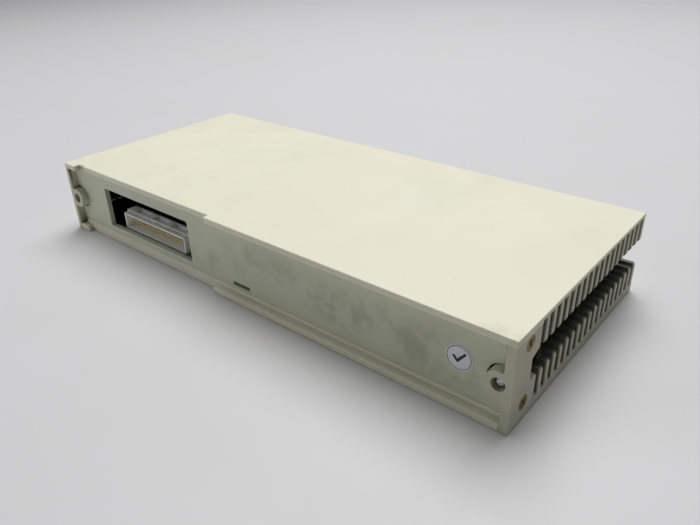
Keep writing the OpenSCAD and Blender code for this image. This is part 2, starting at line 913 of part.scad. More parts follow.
// A black insulating sheet bent round the connector's inner side and over the cover's screw boss
module insulating_shield() {
    top = board_top + shield_height;
    t = shield_thickness;
    boss_side = left + cap_depth + screw_boss_length + 1;
    boss_front_side = screw_boss_front + 0.7;
    shelf = lower_screw_z + 3 + 0.3;
    rear_edge = panel_back + 0.5;
    color(black) {
        slab([shield_left, shield_right], [shield_front, shield_front + t], [board_top, top]);
        slab([shield_left, shield_left + t], [boss_front_side, shield_front + t],
            [board_top, top]);
        slab([shield_left, shield_left + t], [rear_edge, boss_front_side + t], [shelf, top]);
        slab([shield_left, boss_side + t], [rear_edge, boss_front_side + t], [shelf, shelf + t]);
        slab([boss_side, boss_side + t], [rear_edge, boss_front_side + t], [board_top, shelf + t]);
        slab([shield_left, boss_side + t], [boss_front_side, boss_front_side + t],
            [board_top, shelf + t]);
        slab([shield_left, shield_right], [shield_rear, shield_front + t],
            [board_top, board_top + t]);
        slab([boss_side, shroud_middle - shroud_length / 2 - flange_over - 0.4],
            [rear_edge, shield_rear + over], [board_top, board_top + t]);
    }
}

// Two white clips that hold the sheet's left side
module shield_clips() {
    color("#E4E3DE")
    for (y = [shield_rear - 1.4, shield_rear + 2.8])
        slab([shield_left + shield_thickness, shield_left + shield_thickness + 0.6],
            [y, y + 3], [board_top + 4.9, board_top + 6]);
}

top_cover();
bottom_cover();
rear_panel();
left_end_cap();
right_end_cap();
end_cap_screws();
captive_bushes();
left_screw_washer();
right_screw_washer();
left_mounting_screw();
right_mounting_screw();
inspection_sticker();
main_board();
board_screws();
connector_shroud();
connector_pins();
logic_chips();
optocouplers();
resistor_networks();
capacitors();
heat_sink();
power_transistors();
transistor_tabs();
fuse_tube();
fuse_caps();
fuse_clips();
lamp_board();
lamp_header();
status_lamps();
lamp_window();
front_frame();
terminal_block();
terminal_tails();
terminal_clamps();
terminal_screws();
block_fixing_screws();
terminal_door();
door_hinge_pins();
wiring_label();
insulating_shield();
shield_clips();
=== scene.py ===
# %% [markdown]
# A rack control module, dressed in Blender.
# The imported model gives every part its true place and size, so nothing here is fitted by eye: each
# piece reads its position from the frame. What Blender adds is what a working model leaves out, which
# is the softened edges of moulded plastic, real screw heads, pins and threads, and the finishes.

# %% Load the frame
import json
import math
import bmesh
import bpy
from mathutils import Matrix, Quaternion, Vector


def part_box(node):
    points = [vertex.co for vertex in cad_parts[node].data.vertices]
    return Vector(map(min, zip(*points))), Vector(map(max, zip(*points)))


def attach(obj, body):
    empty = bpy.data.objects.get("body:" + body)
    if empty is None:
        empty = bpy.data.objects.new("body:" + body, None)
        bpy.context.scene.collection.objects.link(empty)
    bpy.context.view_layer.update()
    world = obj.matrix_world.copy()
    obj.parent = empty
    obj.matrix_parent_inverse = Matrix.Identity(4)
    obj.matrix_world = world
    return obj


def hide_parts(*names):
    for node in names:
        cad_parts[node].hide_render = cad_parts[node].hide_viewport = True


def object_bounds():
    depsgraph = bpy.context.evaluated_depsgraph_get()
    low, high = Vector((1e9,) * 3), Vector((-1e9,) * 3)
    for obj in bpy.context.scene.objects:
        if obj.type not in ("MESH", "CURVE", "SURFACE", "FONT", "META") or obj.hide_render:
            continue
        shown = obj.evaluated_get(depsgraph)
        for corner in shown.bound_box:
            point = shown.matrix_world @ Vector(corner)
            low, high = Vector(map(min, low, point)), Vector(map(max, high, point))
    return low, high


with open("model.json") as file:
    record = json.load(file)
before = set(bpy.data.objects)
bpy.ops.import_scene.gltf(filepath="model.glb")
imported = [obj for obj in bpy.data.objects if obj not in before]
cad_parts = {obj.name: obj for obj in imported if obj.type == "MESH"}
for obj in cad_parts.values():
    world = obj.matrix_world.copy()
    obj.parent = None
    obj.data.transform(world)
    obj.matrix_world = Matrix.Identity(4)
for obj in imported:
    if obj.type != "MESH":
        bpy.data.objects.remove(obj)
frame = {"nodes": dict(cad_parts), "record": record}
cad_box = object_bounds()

nodes = frame["nodes"]
body_of = {n: b for b, group in frame["record"]["behaviour"]["bodies"].items() for n in group}
slot_of = {s["node"]: s["material_slot"] for s in frame["record"]["subparts"]}
print("CAD nodes:", len(nodes), "bodies:", sorted(set(body_of.values())))

# %% [markdown]
# Lengths are easiest to think of in millimetres, while Blender works in metres. One factor turns the
# first into the second, and one function turns a colour as a painter writes it (sRGB hex) into the
# linear values that the shaders need.

# %% Units and colours
MM = 0.001


def linear(hex_colour, alpha=1.0):
    """An sRGB hex colour as the linear RGBA that shader sockets take."""
    parts = [int(hex_colour[i:i + 2], 16) / 255 for i in (1, 3, 5)]
    return [p / 12.92 if p <= 0.04045 else ((p + 0.055) / 1.055) ** 2.4 for p in parts] + [alpha]


def mm(*values):
    """A point or size given in millimetres."""
    return Vector(values) * MM


case_low, case_high = Vector(cad_box[0]), Vector(cad_box[1])
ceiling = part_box("rear_panel")[1][2]
print("case, mm:", [round(v / MM, 1) for v in case_high - case_low])

# %% [markdown]
# The camera comes first. It stands a little above the rear right corner and looks down along the
# module at the angle of a person bending over a bench, with a slight tilt of the hand.

# %% Camera
CAMERA_PLACE = mm(184.41, -197.75, 144.35)
CAMERA_TURN = math.radians(40.417)
CAMERA_DIP = math.radians(28.852)
CAMERA_ROLL = math.radians(-1.547)
look = Vector((-math.sin(CAMERA_TURN) * math.cos(CAMERA_DIP),
               math.cos(CAMERA_TURN) * math.cos(CAMERA_DIP), -math.sin(CAMERA_DIP)))
camera_data = bpy.data.cameras.new("bench_camera")
camera_data.lens = 32.89
camera_data.sensor_width = 36
camera_data.clip_start = 0.01
camera = bpy.data.objects.new("bench_camera", camera_data)
camera.location = CAMERA_PLACE
camera.rotation_mode = "QUATERNION"
camera.rotation_quaternion = look.to_track_quat("-Z", "Y") @ Quaternion((0, 0, 1), CAMERA_ROLL)
bpy.context.scene.collection.objects.link(camera)
bpy.context.scene.camera = camera
print("camera looks along", [round(v, 3) for v in look])

# %% [markdown]
# Light: a broad soft panel above and behind the module, as from a ceiling of tubes. The top is bright,
# while the rear face and the end with the fins look away from it and are lit almost only by light that
# bounces off the bench. A weak window stands to the left, and a dim even sky is the walls of the room.

# %% Lights and sky
def area_light(name, place, aim, size, watts, colour):
    data = bpy.data.lights.new(name, "AREA")
    data.shape = "RECTANGLE"
    data.size, data.size_y = size
    data.energy = watts
    data.color = linear(colour)[:3]
    light = bpy.data.objects.new(name, data)
    light.location = place
    light.rotation_mode = "QUATERNION"
    light.rotation_quaternion = (aim - place).to_track_quat("-Z", "Y")
    bpy.context.scene.collection.objects.link(light)
    return light


aim_point = Vector((0, 0, case_high.z))
area_light("ceiling_panel", Vector((-0.2, 0.5, 1.5)), aim_point, (1.1, 1.5), 30.5, "#FFFEFF")
area_light("left_window", Vector((-0.75, -0.75, 0.42)), aim_point, (0.7, 0.5), 2.2, "#FAFCFF")
sky = bpy.data.worlds.new("room_walls")
sky.use_nodes = True
sky.node_tree.nodes["Background"].inputs["Color"].default_value = linear("#B9BEC4")
sky.node_tree.nodes["Background"].inputs["Strength"].default_value = 0.10
bpy.context.scene.world = sky
bpy.context.scene.view_settings.view_transform = "Standard"

# %% [markdown]
# Every finish and every Geometry Nodes tree below is made of nodes. One function adds a node, sets its
# properties and feeds its inputs: an input is given by the socket's name or number, and what is given
# is either a value or the output socket of an earlier node.

# %% Add a node
def add(tree, kind, inputs=None, **settings):
    """A new node of that kind, with its settings made and its inputs set or linked."""
    node = tree.nodes.new(kind)
    for key, value in settings.items():
        setattr(node, key, value)
    for key, value in (inputs or {}).items():
        if isinstance(value, bpy.types.NodeSocket):
            tree.links.new(value, node.inputs[key])
        else:
            node.inputs[key].default_value = value
    return node


print("every node is made by:", add.__name__)

# %% [markdown]
# A finish always starts the same way: a new material with Blender's Principled shader, and the Object
# coordinates, which are metres on the real module, so that a pattern stays on its part as it moves.
# What is the same all over a surface is a plain constant on the shader, and needs no node.

# %% Start a finish
def new_finish(name, **constants):
    """A material with one Principled shader; what is the same all over is set on the shader itself."""
    material = bpy.data.materials.new(name)
    material.use_nodes = True
    tree = material.node_tree
    shader = tree.nodes["Principled BSDF"]
    for key, value in constants.items():
        shader.inputs[key.replace("_", " ")].default_value = value
    return material, tree, shader, add(tree, "ShaderNodeTexCoord").outputs["Object"]


print("every finish starts in:", new_finish.__name__)

# %% [markdown]
# Four things turn up in most finishes: soft patches where the gloss changes, a colour that turns into a
# second one in such patches, a fine relief, and a smear of dirt round one spot. Each is a few nodes
# together. The size of a noise lump is one over its scale, so a grain of 0.5 mm is written as such and
# turned into a scale here.

# %% Patches, blotches, relief and smears
def patches(tree, place, size_mm, start, end, low=0.0, high=1.0, detail=4.0):
    """A value that goes from low to high where soft noise rises from start to end."""
    lumps = add(tree, "ShaderNodeTexNoise", {
        "Vector": place, "Scale": 1 / (size_mm * MM), "Detail": detail, "Roughness": 0.58})
    amount = add(tree, "ShaderNodeMapRange", {
        "Value": lumps.outputs["Fac"], "From Min": start, "From Max": end, "To Min": low, "To Max": high})
    return amount.outputs["Result"]


def blotched(tree, place, size_mm, start, end, first, second, high=1.0, detail=4.0):
    """A first colour, hex or from a node, that turns into a second, hex colour in soft patches."""
    amount = patches(tree, place, size_mm, start, end, high=high, detail=detail)
    first = linear(first) if isinstance(first, str) else first
    blend = add(tree, "ShaderNodeMix", {0: amount, 6: first, 7: linear(second)}, data_type="RGBA")
    return blend.outputs[2]


def fine_relief(tree, shader, place, grain_mm, depth_mm):
    """A bump of small grains over the whole surface."""
    grain = add(tree, "ShaderNodeTexNoise", {"Vector": place, "Scale": 1 / (grain_mm * MM), "Detail": 2.0})
    relief = add(tree, "ShaderNodeBump", {
        "Height": grain.outputs["Fac"], "Distance": depth_mm * MM, "Strength": 0.5})
    tree.links.new(relief.outputs["Normal"], shader.inputs["Normal"])


def smear(tree, place, spot, reach_mm, strength, streaks, clean, dirt):
    """A clean colour with dirt round a spot: most at the spot, none beyond its reach, in streaks."""
    moved = add(tree, "ShaderNodeMapping", {
        "Vector": place, "Location": spot, "Scale": [r * MM for r in reach_mm]}, vector_type="TEXTURE")
    far = add(tree, "ShaderNodeVectorMath", {0: moved.outputs["Vector"]}, operation="LENGTH")
    zone = add(tree, "ShaderNodeMapRange", {
        "Value": far.outputs["Value"], "From Min": 1.0, "From Max": 0.35, "To Max": strength},
        interpolation_type="SMOOTHSTEP")
    amount = add(tree, "ShaderNodeMath", {0: zone.outputs["Result"], 1: streaks}, operation="MULTIPLY")
    blend = add(tree, "ShaderNodeMix", {0: amount.outputs["Value"], 6: clean, 7: linear(dirt)},
                data_type="RGBA")
    return blend.outputs[2]


print("shader helpers ready")

# %% [markdown]
# Between the fins the plastic is painted a darker grey, which is painted shade for the deep shade in the
# slots. It could be a second material on the inner faces, but it would then start at a hard line. A ramp
# along X instead lets it rise within a millimetre behind the end face, at both ends alike, since the ramp
# reads the distance from the module's middle. The front faces of the outermost fins stay unshaded.

# %% Painted shade between the fins
SHADE_START, SHADE_FULL = 0.1 * MM, 0.8 * MM
UNSHADED_FRONT = 1 * MM


def shaded_slots(tree, place, clean, darkness):
    """The clean colour with painted shade from just behind the end faces inwards, but not on the front."""
    along = add(tree, "ShaderNodeSeparateXYZ", {"Vector": place})
    from_middle = add(tree, "ShaderNodeMath", {0: along.outputs["X"]}, operation="ABSOLUTE")
    sunk = add(tree, "ShaderNodeMapRange", {
        "Value": from_middle.outputs["Value"], "From Min": case_high.x - SHADE_START,
        "From Max": case_high.x - SHADE_FULL, "To Max": darkness})
    behind_front = add(tree, "ShaderNodeMath", {0: along.outputs["Y"], 1: case_high.y - UNSHADED_FRONT},
                       operation="LESS_THAN")
    painted_shade = add(tree, "ShaderNodeMath", {0: sunk.outputs["Result"], 1: behind_front.outputs["Value"]},
               operation="MULTIPLY")
    # The dark grey is painted shade for the deep slots between the fins.
    slot_shaded = add(tree, "ShaderNodeMix", {0: painted_shade.outputs["Value"], 6: clean, 7: linear("#4C4D3E")},
                data_type="RGBA")
    return slot_shaded.outputs[2]


print("dust rises over, mm:", round((SHADE_FULL - SHADE_START) / MM, 2))

# %% [markdown]
# The case is injection-moulded ABS that was once a cool light grey and has yellowed to cream. The
# mould was spark-eroded, so the skin has a fine matte grain; the real grain of 0.15 mm is too fine to
# show at this distance, so it is drawn at 0.5 mm. Handling leaves faint greasy clouds, and the rear,
# which nobody wipes, has smeared grey dirt where the module was pushed along a shelf. Where an edge
# stands out it is drawn paler, partly as wear from hands and shelves and partly as a painted highlight
# where the rim catches the light: a bevelled normal differs from the true one only near an edge, and
# the more they differ, the nearer the edge is.

# %% Material: yellowed ABS
EDGE_RUB_AND_HIGHLIGHT = 0.5
EDGE_REACH = 0.7 * MM


def yellowed_abs(name, base="#E4E3CE", second="#E0DEC7", smears=(), dirt="#8A8A72", slot_shade=0.0):
    """Yellowed case plastic; the last argument is how dark the painted shade makes the faces between the
    fins.
    """
    material, tree, shader, place = new_finish(name, Roughness=0.5, IOR=1.53)
    colour = blotched(tree, place, 70, 0.35, 0.7, base, second)
    colour = blotched(tree, place, 2.2, 0.70, 0.78, colour, "#B9B496", high=0.3, detail=2)
    streaks = patches(tree, place, 8, 0.44, 0.60, low=0.1, detail=5)
    for spot, reach_mm, strength in smears:
        colour = smear(tree, place, spot, reach_mm, strength, streaks, colour, dirt)
    if slot_shade:
        colour = shaded_slots(tree, place, colour, slot_shade)
    # Paler rims: part wear, part painted highlight.
    rounded = add(tree, "ShaderNodeBevel", {"Radius": EDGE_REACH}, samples=4)
    true_normal = add(tree, "ShaderNodeNewGeometry").outputs["Normal"]
    agree = add(tree, "ShaderNodeVectorMath", {0: rounded.outputs["Normal"], 1: true_normal},
                operation="DOT_PRODUCT")
    edge = add(tree, "ShaderNodeMapRange", {
        "Value": agree.outputs["Value"], "From Min": 0.98, "From Max": 0.8, "To Max": EDGE_RUB_AND_HIGHLIGHT})
    uneven = patches(tree, place, 6, 0.4, 0.6, low=0.2)
    wear_and_highlight = add(tree, "ShaderNodeMath", {0: edge.outputs["Result"], 1: uneven}, operation="MULTIPLY")
    edge_worn_and_highlit = add(tree, "ShaderNodeMix", {0: wear_and_highlight.outputs["Value"], 6: colour, 7: linear("#EFEDDD")},
               data_type="RGBA")
    tree.links.new(edge_worn_and_highlit.outputs[2], shader.inputs["Base Color"])
    tree.links.new(patches(tree, place, 40, 0.3, 0.7, 0.42, 0.58), shader.inputs["Roughness"])
    fine_relief(tree, shader, place, 0.5, 0.02)
    return material


print("rubbed_and_highlit edges, mm wide:", round(EDGE_REACH / MM, 2))

# %% [markdown]
# Each moulding has its own copy of the finish. The broad sides and the door are the palest. The rear
# panel, the end caps and the fins are darker and greener, which is painted shade: they are the faces that
# look away from the ceiling light. A smear is given by its middle, its reach along X, Y and Z in
# millimetres, and its strength.

# %% The case's finishes
rear_y, top_z = case_low.y, case_high.z
half_z = top_z / 2
cream_top = yellowed_abs("yellowed_abs_top", dirt="#A08C66", smears=[
    (Vector((0.120, rear_y + 0.002, top_z)), (12, 6, 6), 0.25),
    (Vector((-0.114, rear_y + 0.002, top_z)), (4, 3, 4), 0.55)])
cream_bottom = yellowed_abs("yellowed_abs_underside", smears=[(Vector((0.02, 0, 0)), (90, 50, 8), 0.4)])
# Rear panel, end caps and fins: darker, greener bases, which are painted shade.
shaded_cream_rear = yellowed_abs("shaded_yellowed_abs_rear", base="#CED1BB", second="#C5C8B0", dirt="#75765F", smears=[
    (Vector((0.014, rear_y, half_z + 0.003)), (36, 20, 12), 0.25),
    (Vector((0.062, rear_y, half_z)), (38, 20, 14), 0.36),
    (Vector((0.098, rear_y, half_z - 0.002)), (26, 20, 16), 0.30),
    (Vector((-0.022, rear_y, half_z - 0.004)), (14, 20, 9), 0.25)])
shaded_cream_cap = yellowed_abs("shaded_yellowed_abs_end_cap", base="#C6C8B0", second="#BCBEA4", smears=[
    (Vector((case_high.x, rear_y + 0.006, 0.010)), (8, 12, 12), 0.3)])
shaded_cream_fins = yellowed_abs("shaded_yellowed_abs_fins", base="#CACBB4", second="#C1C2A9", slot_shade=0.92)
cream_front = yellowed_abs("yellowed_abs_front", base="#CFCDB9", second="#C6C4AE")
cream_door = yellowed_abs("yellowed_abs_door", base="#E0DDC6", second="#D8D5BB")
print("ABS finishes:", [m.name for m in bpy.data.materials if "abs" in m.name])

# %% [markdown]
# Metals. The end cap screws are steel with a yellow chromate coat that has dulled to olive bronze. The
# other screws are zinc plated, bright inside the case and abraded bright at the mounting screws' tips.
# The mounting screws' heads and their washers are drawn nearly black, which is painted shade for the dark
# channel where they sit. All keep the default index of refraction, and their colour lives in the base
# colour. Turning leaves marks round a screw, so the relief is a fine one of 0.25 mm.

# %% Material: metals
def worked_metal(name, bright, dull, roughness, tarnish=0.5):
    material, tree, shader, place = new_finish(name, Metallic=1.0)
    patina = blotched(tree, place, 1.4, 0.5 - tarnish / 3, 0.75, bright, dull)
    tree.links.new(patina, shader.inputs["Base Color"])
    tree.links.new(patches(tree, place, 1.4, 0.3, 0.75, roughness, roughness + 0.25),
                   shader.inputs["Roughness"])
    fine_relief(tree, shader, place, 0.25, 0.01)
    return material


chromate = worked_metal("yellow_chromated_steel", "#A3915C", "#5A4E30", 0.42, 0.8)
zinc = worked_metal("zinc_plated_steel", "#C9CBCE", "#8E9092", 0.24, 0.3)
# Mounting screw heads and washers: nearly black, which is painted shade.
shade_dark_zinc = worked_metal("shade_darkened_zinc_plated_steel", "#2E2E2B", "#20201D", 0.62, 0.7)
tip_zinc = worked_metal("worn_zinc_plated_thread", "#D6D8D9", "#8A8B8A", 0.2, 0.5)
tinned = worked_metal("tinned_steel", "#D2D3D2", "#9A9B98", 0.3, 0.3)
gilt = worked_metal("gold_flashed_bronze", "#F6ECCB", "#DDCB9C", 0.45, 0.3)
anodised = worked_metal("black_anodised_aluminium", "#2A2B2E", "#18191B", 0.42, 0.4)
brass = worked_metal("turned_brass", "#B5904B", "#7E622F", 0.3, 0.5)
print("metals ready")

# %% [markdown]
# The circuit board is glass-fibre laminate under green solder mask. Copper tracks show through the mask
# as slightly raised paler lines, here a brick pattern on the board's own 2.54 mm grid, and each cut
# edge shows the bare laminate, which is duller than the mask.

# %% Material: circuit board
GRID_MM = 2.54
board_finish, tree, shader, place = new_finish("green_solder_mask", Roughness=0.3, IOR=1.5,
                                               Coat_Weight=0.3)
tracks = add(tree, "ShaderNodeTexBrick", {
    "Vector": place, "Scale": 0.5 / (GRID_MM * MM), "Mortar Size": 0.06, "Mortar Smooth": 0.1,
    "Brick Width": 2.6, "Row Height": 0.5}, offset=0.35, squash=0.6, squash_frequency=3)
mask = blotched(tree, place, 1.3, 0.3, 0.7, "#123F29", "#0C3020")
tracked = add(tree, "ShaderNodeMix", {0: tracks.outputs["Fac"], 6: mask, 7: linear("#2B6B45")},
              data_type="RGBA")
true_normal = add(tree, "ShaderNodeNewGeometry").outputs["Normal"]
facing = add(tree, "ShaderNodeSeparateXYZ", {"Vector": true_normal})
broad_side = add(tree, "ShaderNodeMath", {0: facing.outputs["Z"]}, operation="ABSOLUTE")
laminate = add(tree, "ShaderNodeMix", {
    0: broad_side.outputs["Value"], 6: linear("#2E5B45"), 7: tracked.outputs[2]}, data_type="RGBA")
tree.links.new(laminate.outputs[2], shader.inputs["Base Color"])
relief = add(tree, "ShaderNodeBump", {
    "Height": tracks.outputs["Fac"], "Distance": 0.03 * MM, "Strength": 0.6})
tree.links.new(relief.outputs["Normal"], shader.inputs["Normal"])
print("board grid, mm:", GRID_MM)

# %% [markdown]
# Small plastics. The connector is glass-filled nylon, which looks waxy because light enters it a little
# way, so it has a touch of subsurface. Terminal blocks and chips are black moulded resin with a dry
# surface. Dipped and sleeved parts are glossier, and paper is the dullest.

# %% Material: small plastics and paper
def moulded(name, base, second, roughness, lump_mm=6.0, relief_mm=0.012, **constants):
    material, tree, shader, place = new_finish(name, **constants)
    shade = blotched(tree, place, lump_mm, 0.35, 0.7, base, second)
    tree.links.new(shade, shader.inputs["Base Color"])
    tree.links.new(patches(tree, place, lump_mm, 0.3, 0.7, roughness - 0.06, roughness + 0.08),
                   shader.inputs["Roughness"])
    fine_relief(tree, shader, place, 0.4, relief_mm)
    return material


nylon = moulded("glass_filled_nylon", "#F8F8F5", "#EDEDE7", 0.42, 8, IOR=1.53, Subsurface_Weight=0.5,
                Subsurface_Scale=0.003, Subsurface_Radius=(1.0, 0.95, 0.85))
black_resin = moulded("black_moulded_resin", "#141415", "#1F1F20", 0.5, 4)
white_resin = moulded("white_moulded_resin", "#D9D6C8", "#C3BFAE", 0.5, 4)
dipped = moulded("dipped_brown_resin", "#6A2A1C", "#4A1B12", 0.28, 3)
sleeve = moulded("shrunk_blue_sleeve", "#1B2A52", "#14203E", 0.25, 5)
# Nearly black, darker than real fish paper: painted shade for the dark left of the window.
shade_black_fish_paper = moulded("painted_shade_black_fish_paper", "#060606", "#0D0D0C", 0.75, 10, IOR=1.45)
lamp_red = moulded("diffused_red_resin", "#7A120E", "#8E1A14", 0.22, 2, IOR=1.49, Subsurface_Weight=0.2,
                   Subsurface_Scale=0.001)
coated_paper = moulded("coated_paper", "#E6E6EC", "#D9D9E0", 0.5, 4, 0.006, IOR=1.45)
plain_paper = moulded("plain_paper", "#DAD9D2", "#CFCEC6", 0.8, 7, 0.01, IOR=1.45)
ink = moulded("printed_black_ink", "#1B1B1E", "#303033", 0.55, 1.2, 0.004)
print("materials so far:", len(bpy.data.materials))

# %% [markdown]
# Clear parts. The lamp window is red-smoked acrylic, so it is a glass with a coloured transmission; the
# fuse tube is plain thin glass. Fine wiping scratches roughen both a little.

# %% Material: clear parts
def clear(name, tint, roughness, ior):
    material, tree, shader, place = new_finish(name, IOR=ior, Transmission_Weight=1.0)
    haze = blotched(tree, place, 5, 0.4, 0.8, tint, "#9A8880", high=0.3)
    tree.links.new(haze, shader.inputs["Base Color"])
    tree.links.new(patches(tree, place, 3, 0.4, 0.8, roughness, roughness + 0.12),
                   shader.inputs["Roughness"])
    return material


smoked = clear("smoked_red_acrylic", "#5A2420", 0.06, 1.49)
glass = clear("thin_soda_glass", "#E8F0EE", 0.02, 1.52)
print("clear finishes:", smoked.name, glass.name)

# %% [markdown]
# A CAD node comes as loose triangles, which have no edges that could be rounded. A copy of it is
# cleaned up: corners that lie on each other become one, and triangles that lie in one plane join into
# one flat face. What is left is the moulding's real edges, and few of them.

# %% Read and clean a CAD node
SAME_PLACE = 0.001 * MM
SAME_PLANE = math.radians(0.5)


def flat_faced(bm, same_place):
    """Merges corners that lie on each other and triangles that lie in one plane."""
    bmesh.ops.remove_doubles(bm, verts=bm.verts, dist=same_place)
    bmesh.ops.dissolve_limit(bm, angle_limit=SAME_PLANE, verts=bm.verts, edges=bm.edges)
    return bm


def joined_copy(node):
    """A cleaned copy of a CAD node's mesh."""
    bm = bmesh.new()
    bm.from_mesh(nodes[node].data)
    return flat_faced(bm, SAME_PLACE)


trial = joined_copy("rear_panel")
print("rear panel:", len(nodes["rear_panel"].data.polygons), "triangles make", len(trial.faces), "faces")
trial.free()

# %% [markdown]
# Every piece ends the same way. Its mesh becomes an object, its modifiers are turned into plain mesh,
# it is given what it is made of and the body that carries it, and the CAD nodes it stands for are
# hidden. These steps are helpers, so that no piece forgets one.

# %% Show and finish a piece
def mesh_from(bm, name):
    mesh = bpy.data.meshes.new(name)
    bm.to_mesh(mesh)
    bm.free()
    return mesh


def shown(name, mesh):
    """An object for a mesh, put in the scene."""
    piece = bpy.data.objects.new(name, mesh)
    bpy.context.scene.collection.objects.link(piece)
    return piece


def evaluated_mesh(piece):
    """The plain mesh that a piece's modifiers make."""
    bpy.context.view_layer.update()
    return bpy.data.meshes.new_from_object(piece.evaluated_get(bpy.context.evaluated_depsgraph_get()))


def finish_piece(piece, material, body, slot, *replaced):
    """Gives a piece its finish, hangs it on the body it rides on, and hides the CAD nodes it stands for."""
    piece.data.materials.clear()
    piece.data.materials.append(material)
    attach(piece, body)
    if replaced:
        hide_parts(*replaced)
    return piece


print("bodies that can carry a piece:", len(set(body_of.values())))

# %% [markdown]
# A recess is made as a tool would make it: the solid is built whole, and a second solid is taken out of
# it with a Boolean modifier. The result is kept as a plain mesh, and the helpers are thrown away.

# %% Carve a mesh
def tapered_block(low, high, foot=1.0):
    """A box whose lower face is narrowed towards its middle by the factor foot."""
    bm = bmesh.new()
    bmesh.ops.create_cube(bm, size=1.0)
    low, high = Vector(low), Vector(high)
    for v in bm.verts:
        narrow = foot if v.co.z < 0 else 1.0
        v.co = Vector((v.co.x * narrow, v.co.y * narrow, v.co.z))
        v.co = Vector([m + c * s for m, c, s in zip((low + high) / 2, v.co, high - low)])
    return mesh_from(bm, "block")


def carved(mesh, *cutters):
    """The mesh with each cutter's volume taken out of it."""
    work = shown("carving", mesh)
    tools = [shown("cutter", cutter) for cutter in cutters]
    for tool in tools:
        cut = work.modifiers.new("cut", "BOOLEAN")
        cut.operation = "DIFFERENCE"
        cut.solver = "EXACT"
        cut.object = tool
    result = evaluated_mesh(work)
    for helper in [work] + tools:
        bpy.data.objects.remove(helper)
    return result


print("carving helpers ready")

# %% [markdown]
# Moulded parts never have knife edges: steel tools leave a radius of a few tenths of a millimetre, and
# that radius is what catches the light along every rim. A Bevel modifier with an angle limit would be
# shorter to write, but it would also take the edges that have no room for a radius, and those at the
# height of a joint line, where two parts meet flush. So the edges are chosen one by one. Weighted
# normals then keep the large faces flat.

# %% Round the edges of a moulding
NO_JOINT_LINE = -1.0
TOUCHING = 0.01 * MM
CORNER_ANGLE = math.radians(30)
EDGE_LENGTHS, NEIGHBOUR_LENGTHS = 4, 2.2


def shade_round(mesh, angle=35):
    """Shades round faces smooth and keeps corners crisp."""
    mesh.shade_smooth()
    mesh.set_sharp_from_angle(angle=math.radians(angle))
    return mesh


def has_room(edge, radius, joint_line):
    """True for an outer corner that is long enough for the radius, as are its neighbours."""
    if len(edge.link_faces) != 2 or edge.calc_length() < EDGE_LENGTHS * radius:
        return False
    if all(abs(v.co.z - joint_line) < TOUCHING for v in edge.verts):
        return False
    if edge.calc_face_angle_signed(0.0) < CORNER_ANGLE:
        return False
    neighbours = [other for v in edge.verts for other in v.link_edges]
    return all(other.calc_length() > NEIGHBOUR_LENGTHS * radius for other in neighbours)


def softened(bm, name, material, radius_mm, node, joint_line):
    """A finished piece from a cleaned solid: outer edges rounded, large flat faces kept flat."""
    radius = radius_mm * MM
    edges = [e for e in bm.edges if has_room(e, radius, joint_line)]
    bmesh.ops.bevel(bm, geom=edges, offset=radius, offset_type="OFFSET", segments=2, profile=0.5,
                    affect="EDGES", clamp_overlap=False)
    open_edges = sum(not e.is_manifold for e in bm.edges)
    piece = shown(name, shade_round(mesh_from(bm, name)))
    piece.modifiers.new("flat_faces", "WEIGHTED_NORMAL").keep_sharp = True
    flat = evaluated_mesh(piece)
    piece.modifiers.clear()
    piece.data = flat
    finish_piece(piece, material, body_of[node], slot_of[node], node)
    print(f"{name}: {len(edges)} edges rounded, {len(flat.polygons)} faces, {open_edges} open edges")
    return piece


for node, kind, material, radius_mm, joint_line in (
        ("bottom_cover", "shell", cream_bottom, 0.35, NO_JOINT_LINE),
        ("rear_panel", "moulding", shaded_cream_rear, 0.25, ceiling),
        ("front_frame", "moulding", cream_front, 0.3, ceiling),
        ("terminal_door", "moulding", cream_door, 0.3, NO_JOINT_LINE),
        ("terminal_block", "moulding", black_resin, 0.25, NO_JOINT_LINE),
        ("connector_shroud", "moulding", nylon, 0.15, NO_JOINT_LINE)):
    softened(joined_copy(node), f"{node}_{kind}", material, radius_mm, node, joint_line)

# %% [markdown]
# The fins are the module's own mark: two combs at each end, one hanging from the top cover and one
# standing on the end cap, with a straight channel between them for a long screwdriver. They follow a
# rule, so they are made apart from the shells by Geometry Nodes. First their rule is read from the CAD
# solid: where the fins begin, how thick they are and how far apart.

# %% Read the fins' rule
end_face = case_high.x
FIN_CLEAR = 1 * MM
fin_edges = sorted({round(v.co.y, 5) for v in nodes["top_cover"].data.vertices
                    if v.co.z < ceiling - FIN_CLEAR and v.co.x > end_face - TOUCHING})
fin_first, fin_thickness = fin_edges[0], fin_edges[1] - fin_edges[0]
fin_pitch = fin_edges[2] - fin_edges[0]
fin_count = len(fin_edges) // 2
upper_tip = min(v.co.z for v in nodes["top_cover"].data.vertices if v.co.y > fin_first)
behind_fins = [v.co for v in nodes["right_end_cap"].data.vertices if v.co.y > fin_first - TOUCHING]
fin_inner = min(v.x for v in behind_fins)
slot_top = max(v.co.z for v in nodes["top_cover"].data.vertices
               if v.co.z < top_z - FIN_CLEAR and v.co.x > end_face - TOUCHING and v.co.y > fin_first)
lower_tip = max(v.z for v in behind_fins)
rail_top = max(v.z for v in behind_fins if v.z < lower_tip - 3 * MM)
print("fins:", fin_count, "pitch, mm:", round(fin_pitch / MM, 2), "rail to tip, mm:",
      round((lower_tip - rail_top) / MM, 2))

# %% [markdown]
# The CAD solids carry their fins, so these are cut off before the shells are rounded. One block is taken
# out of each end. It starts half a gap before the first fin and runs out past the front, so that it
# cuts through air and never along a face, which would leave slivers.

# %% Shells without their fins
CUT_DEEPER = 0.02 * MM
CUT_SAME_PLACE = 0.002 * MM


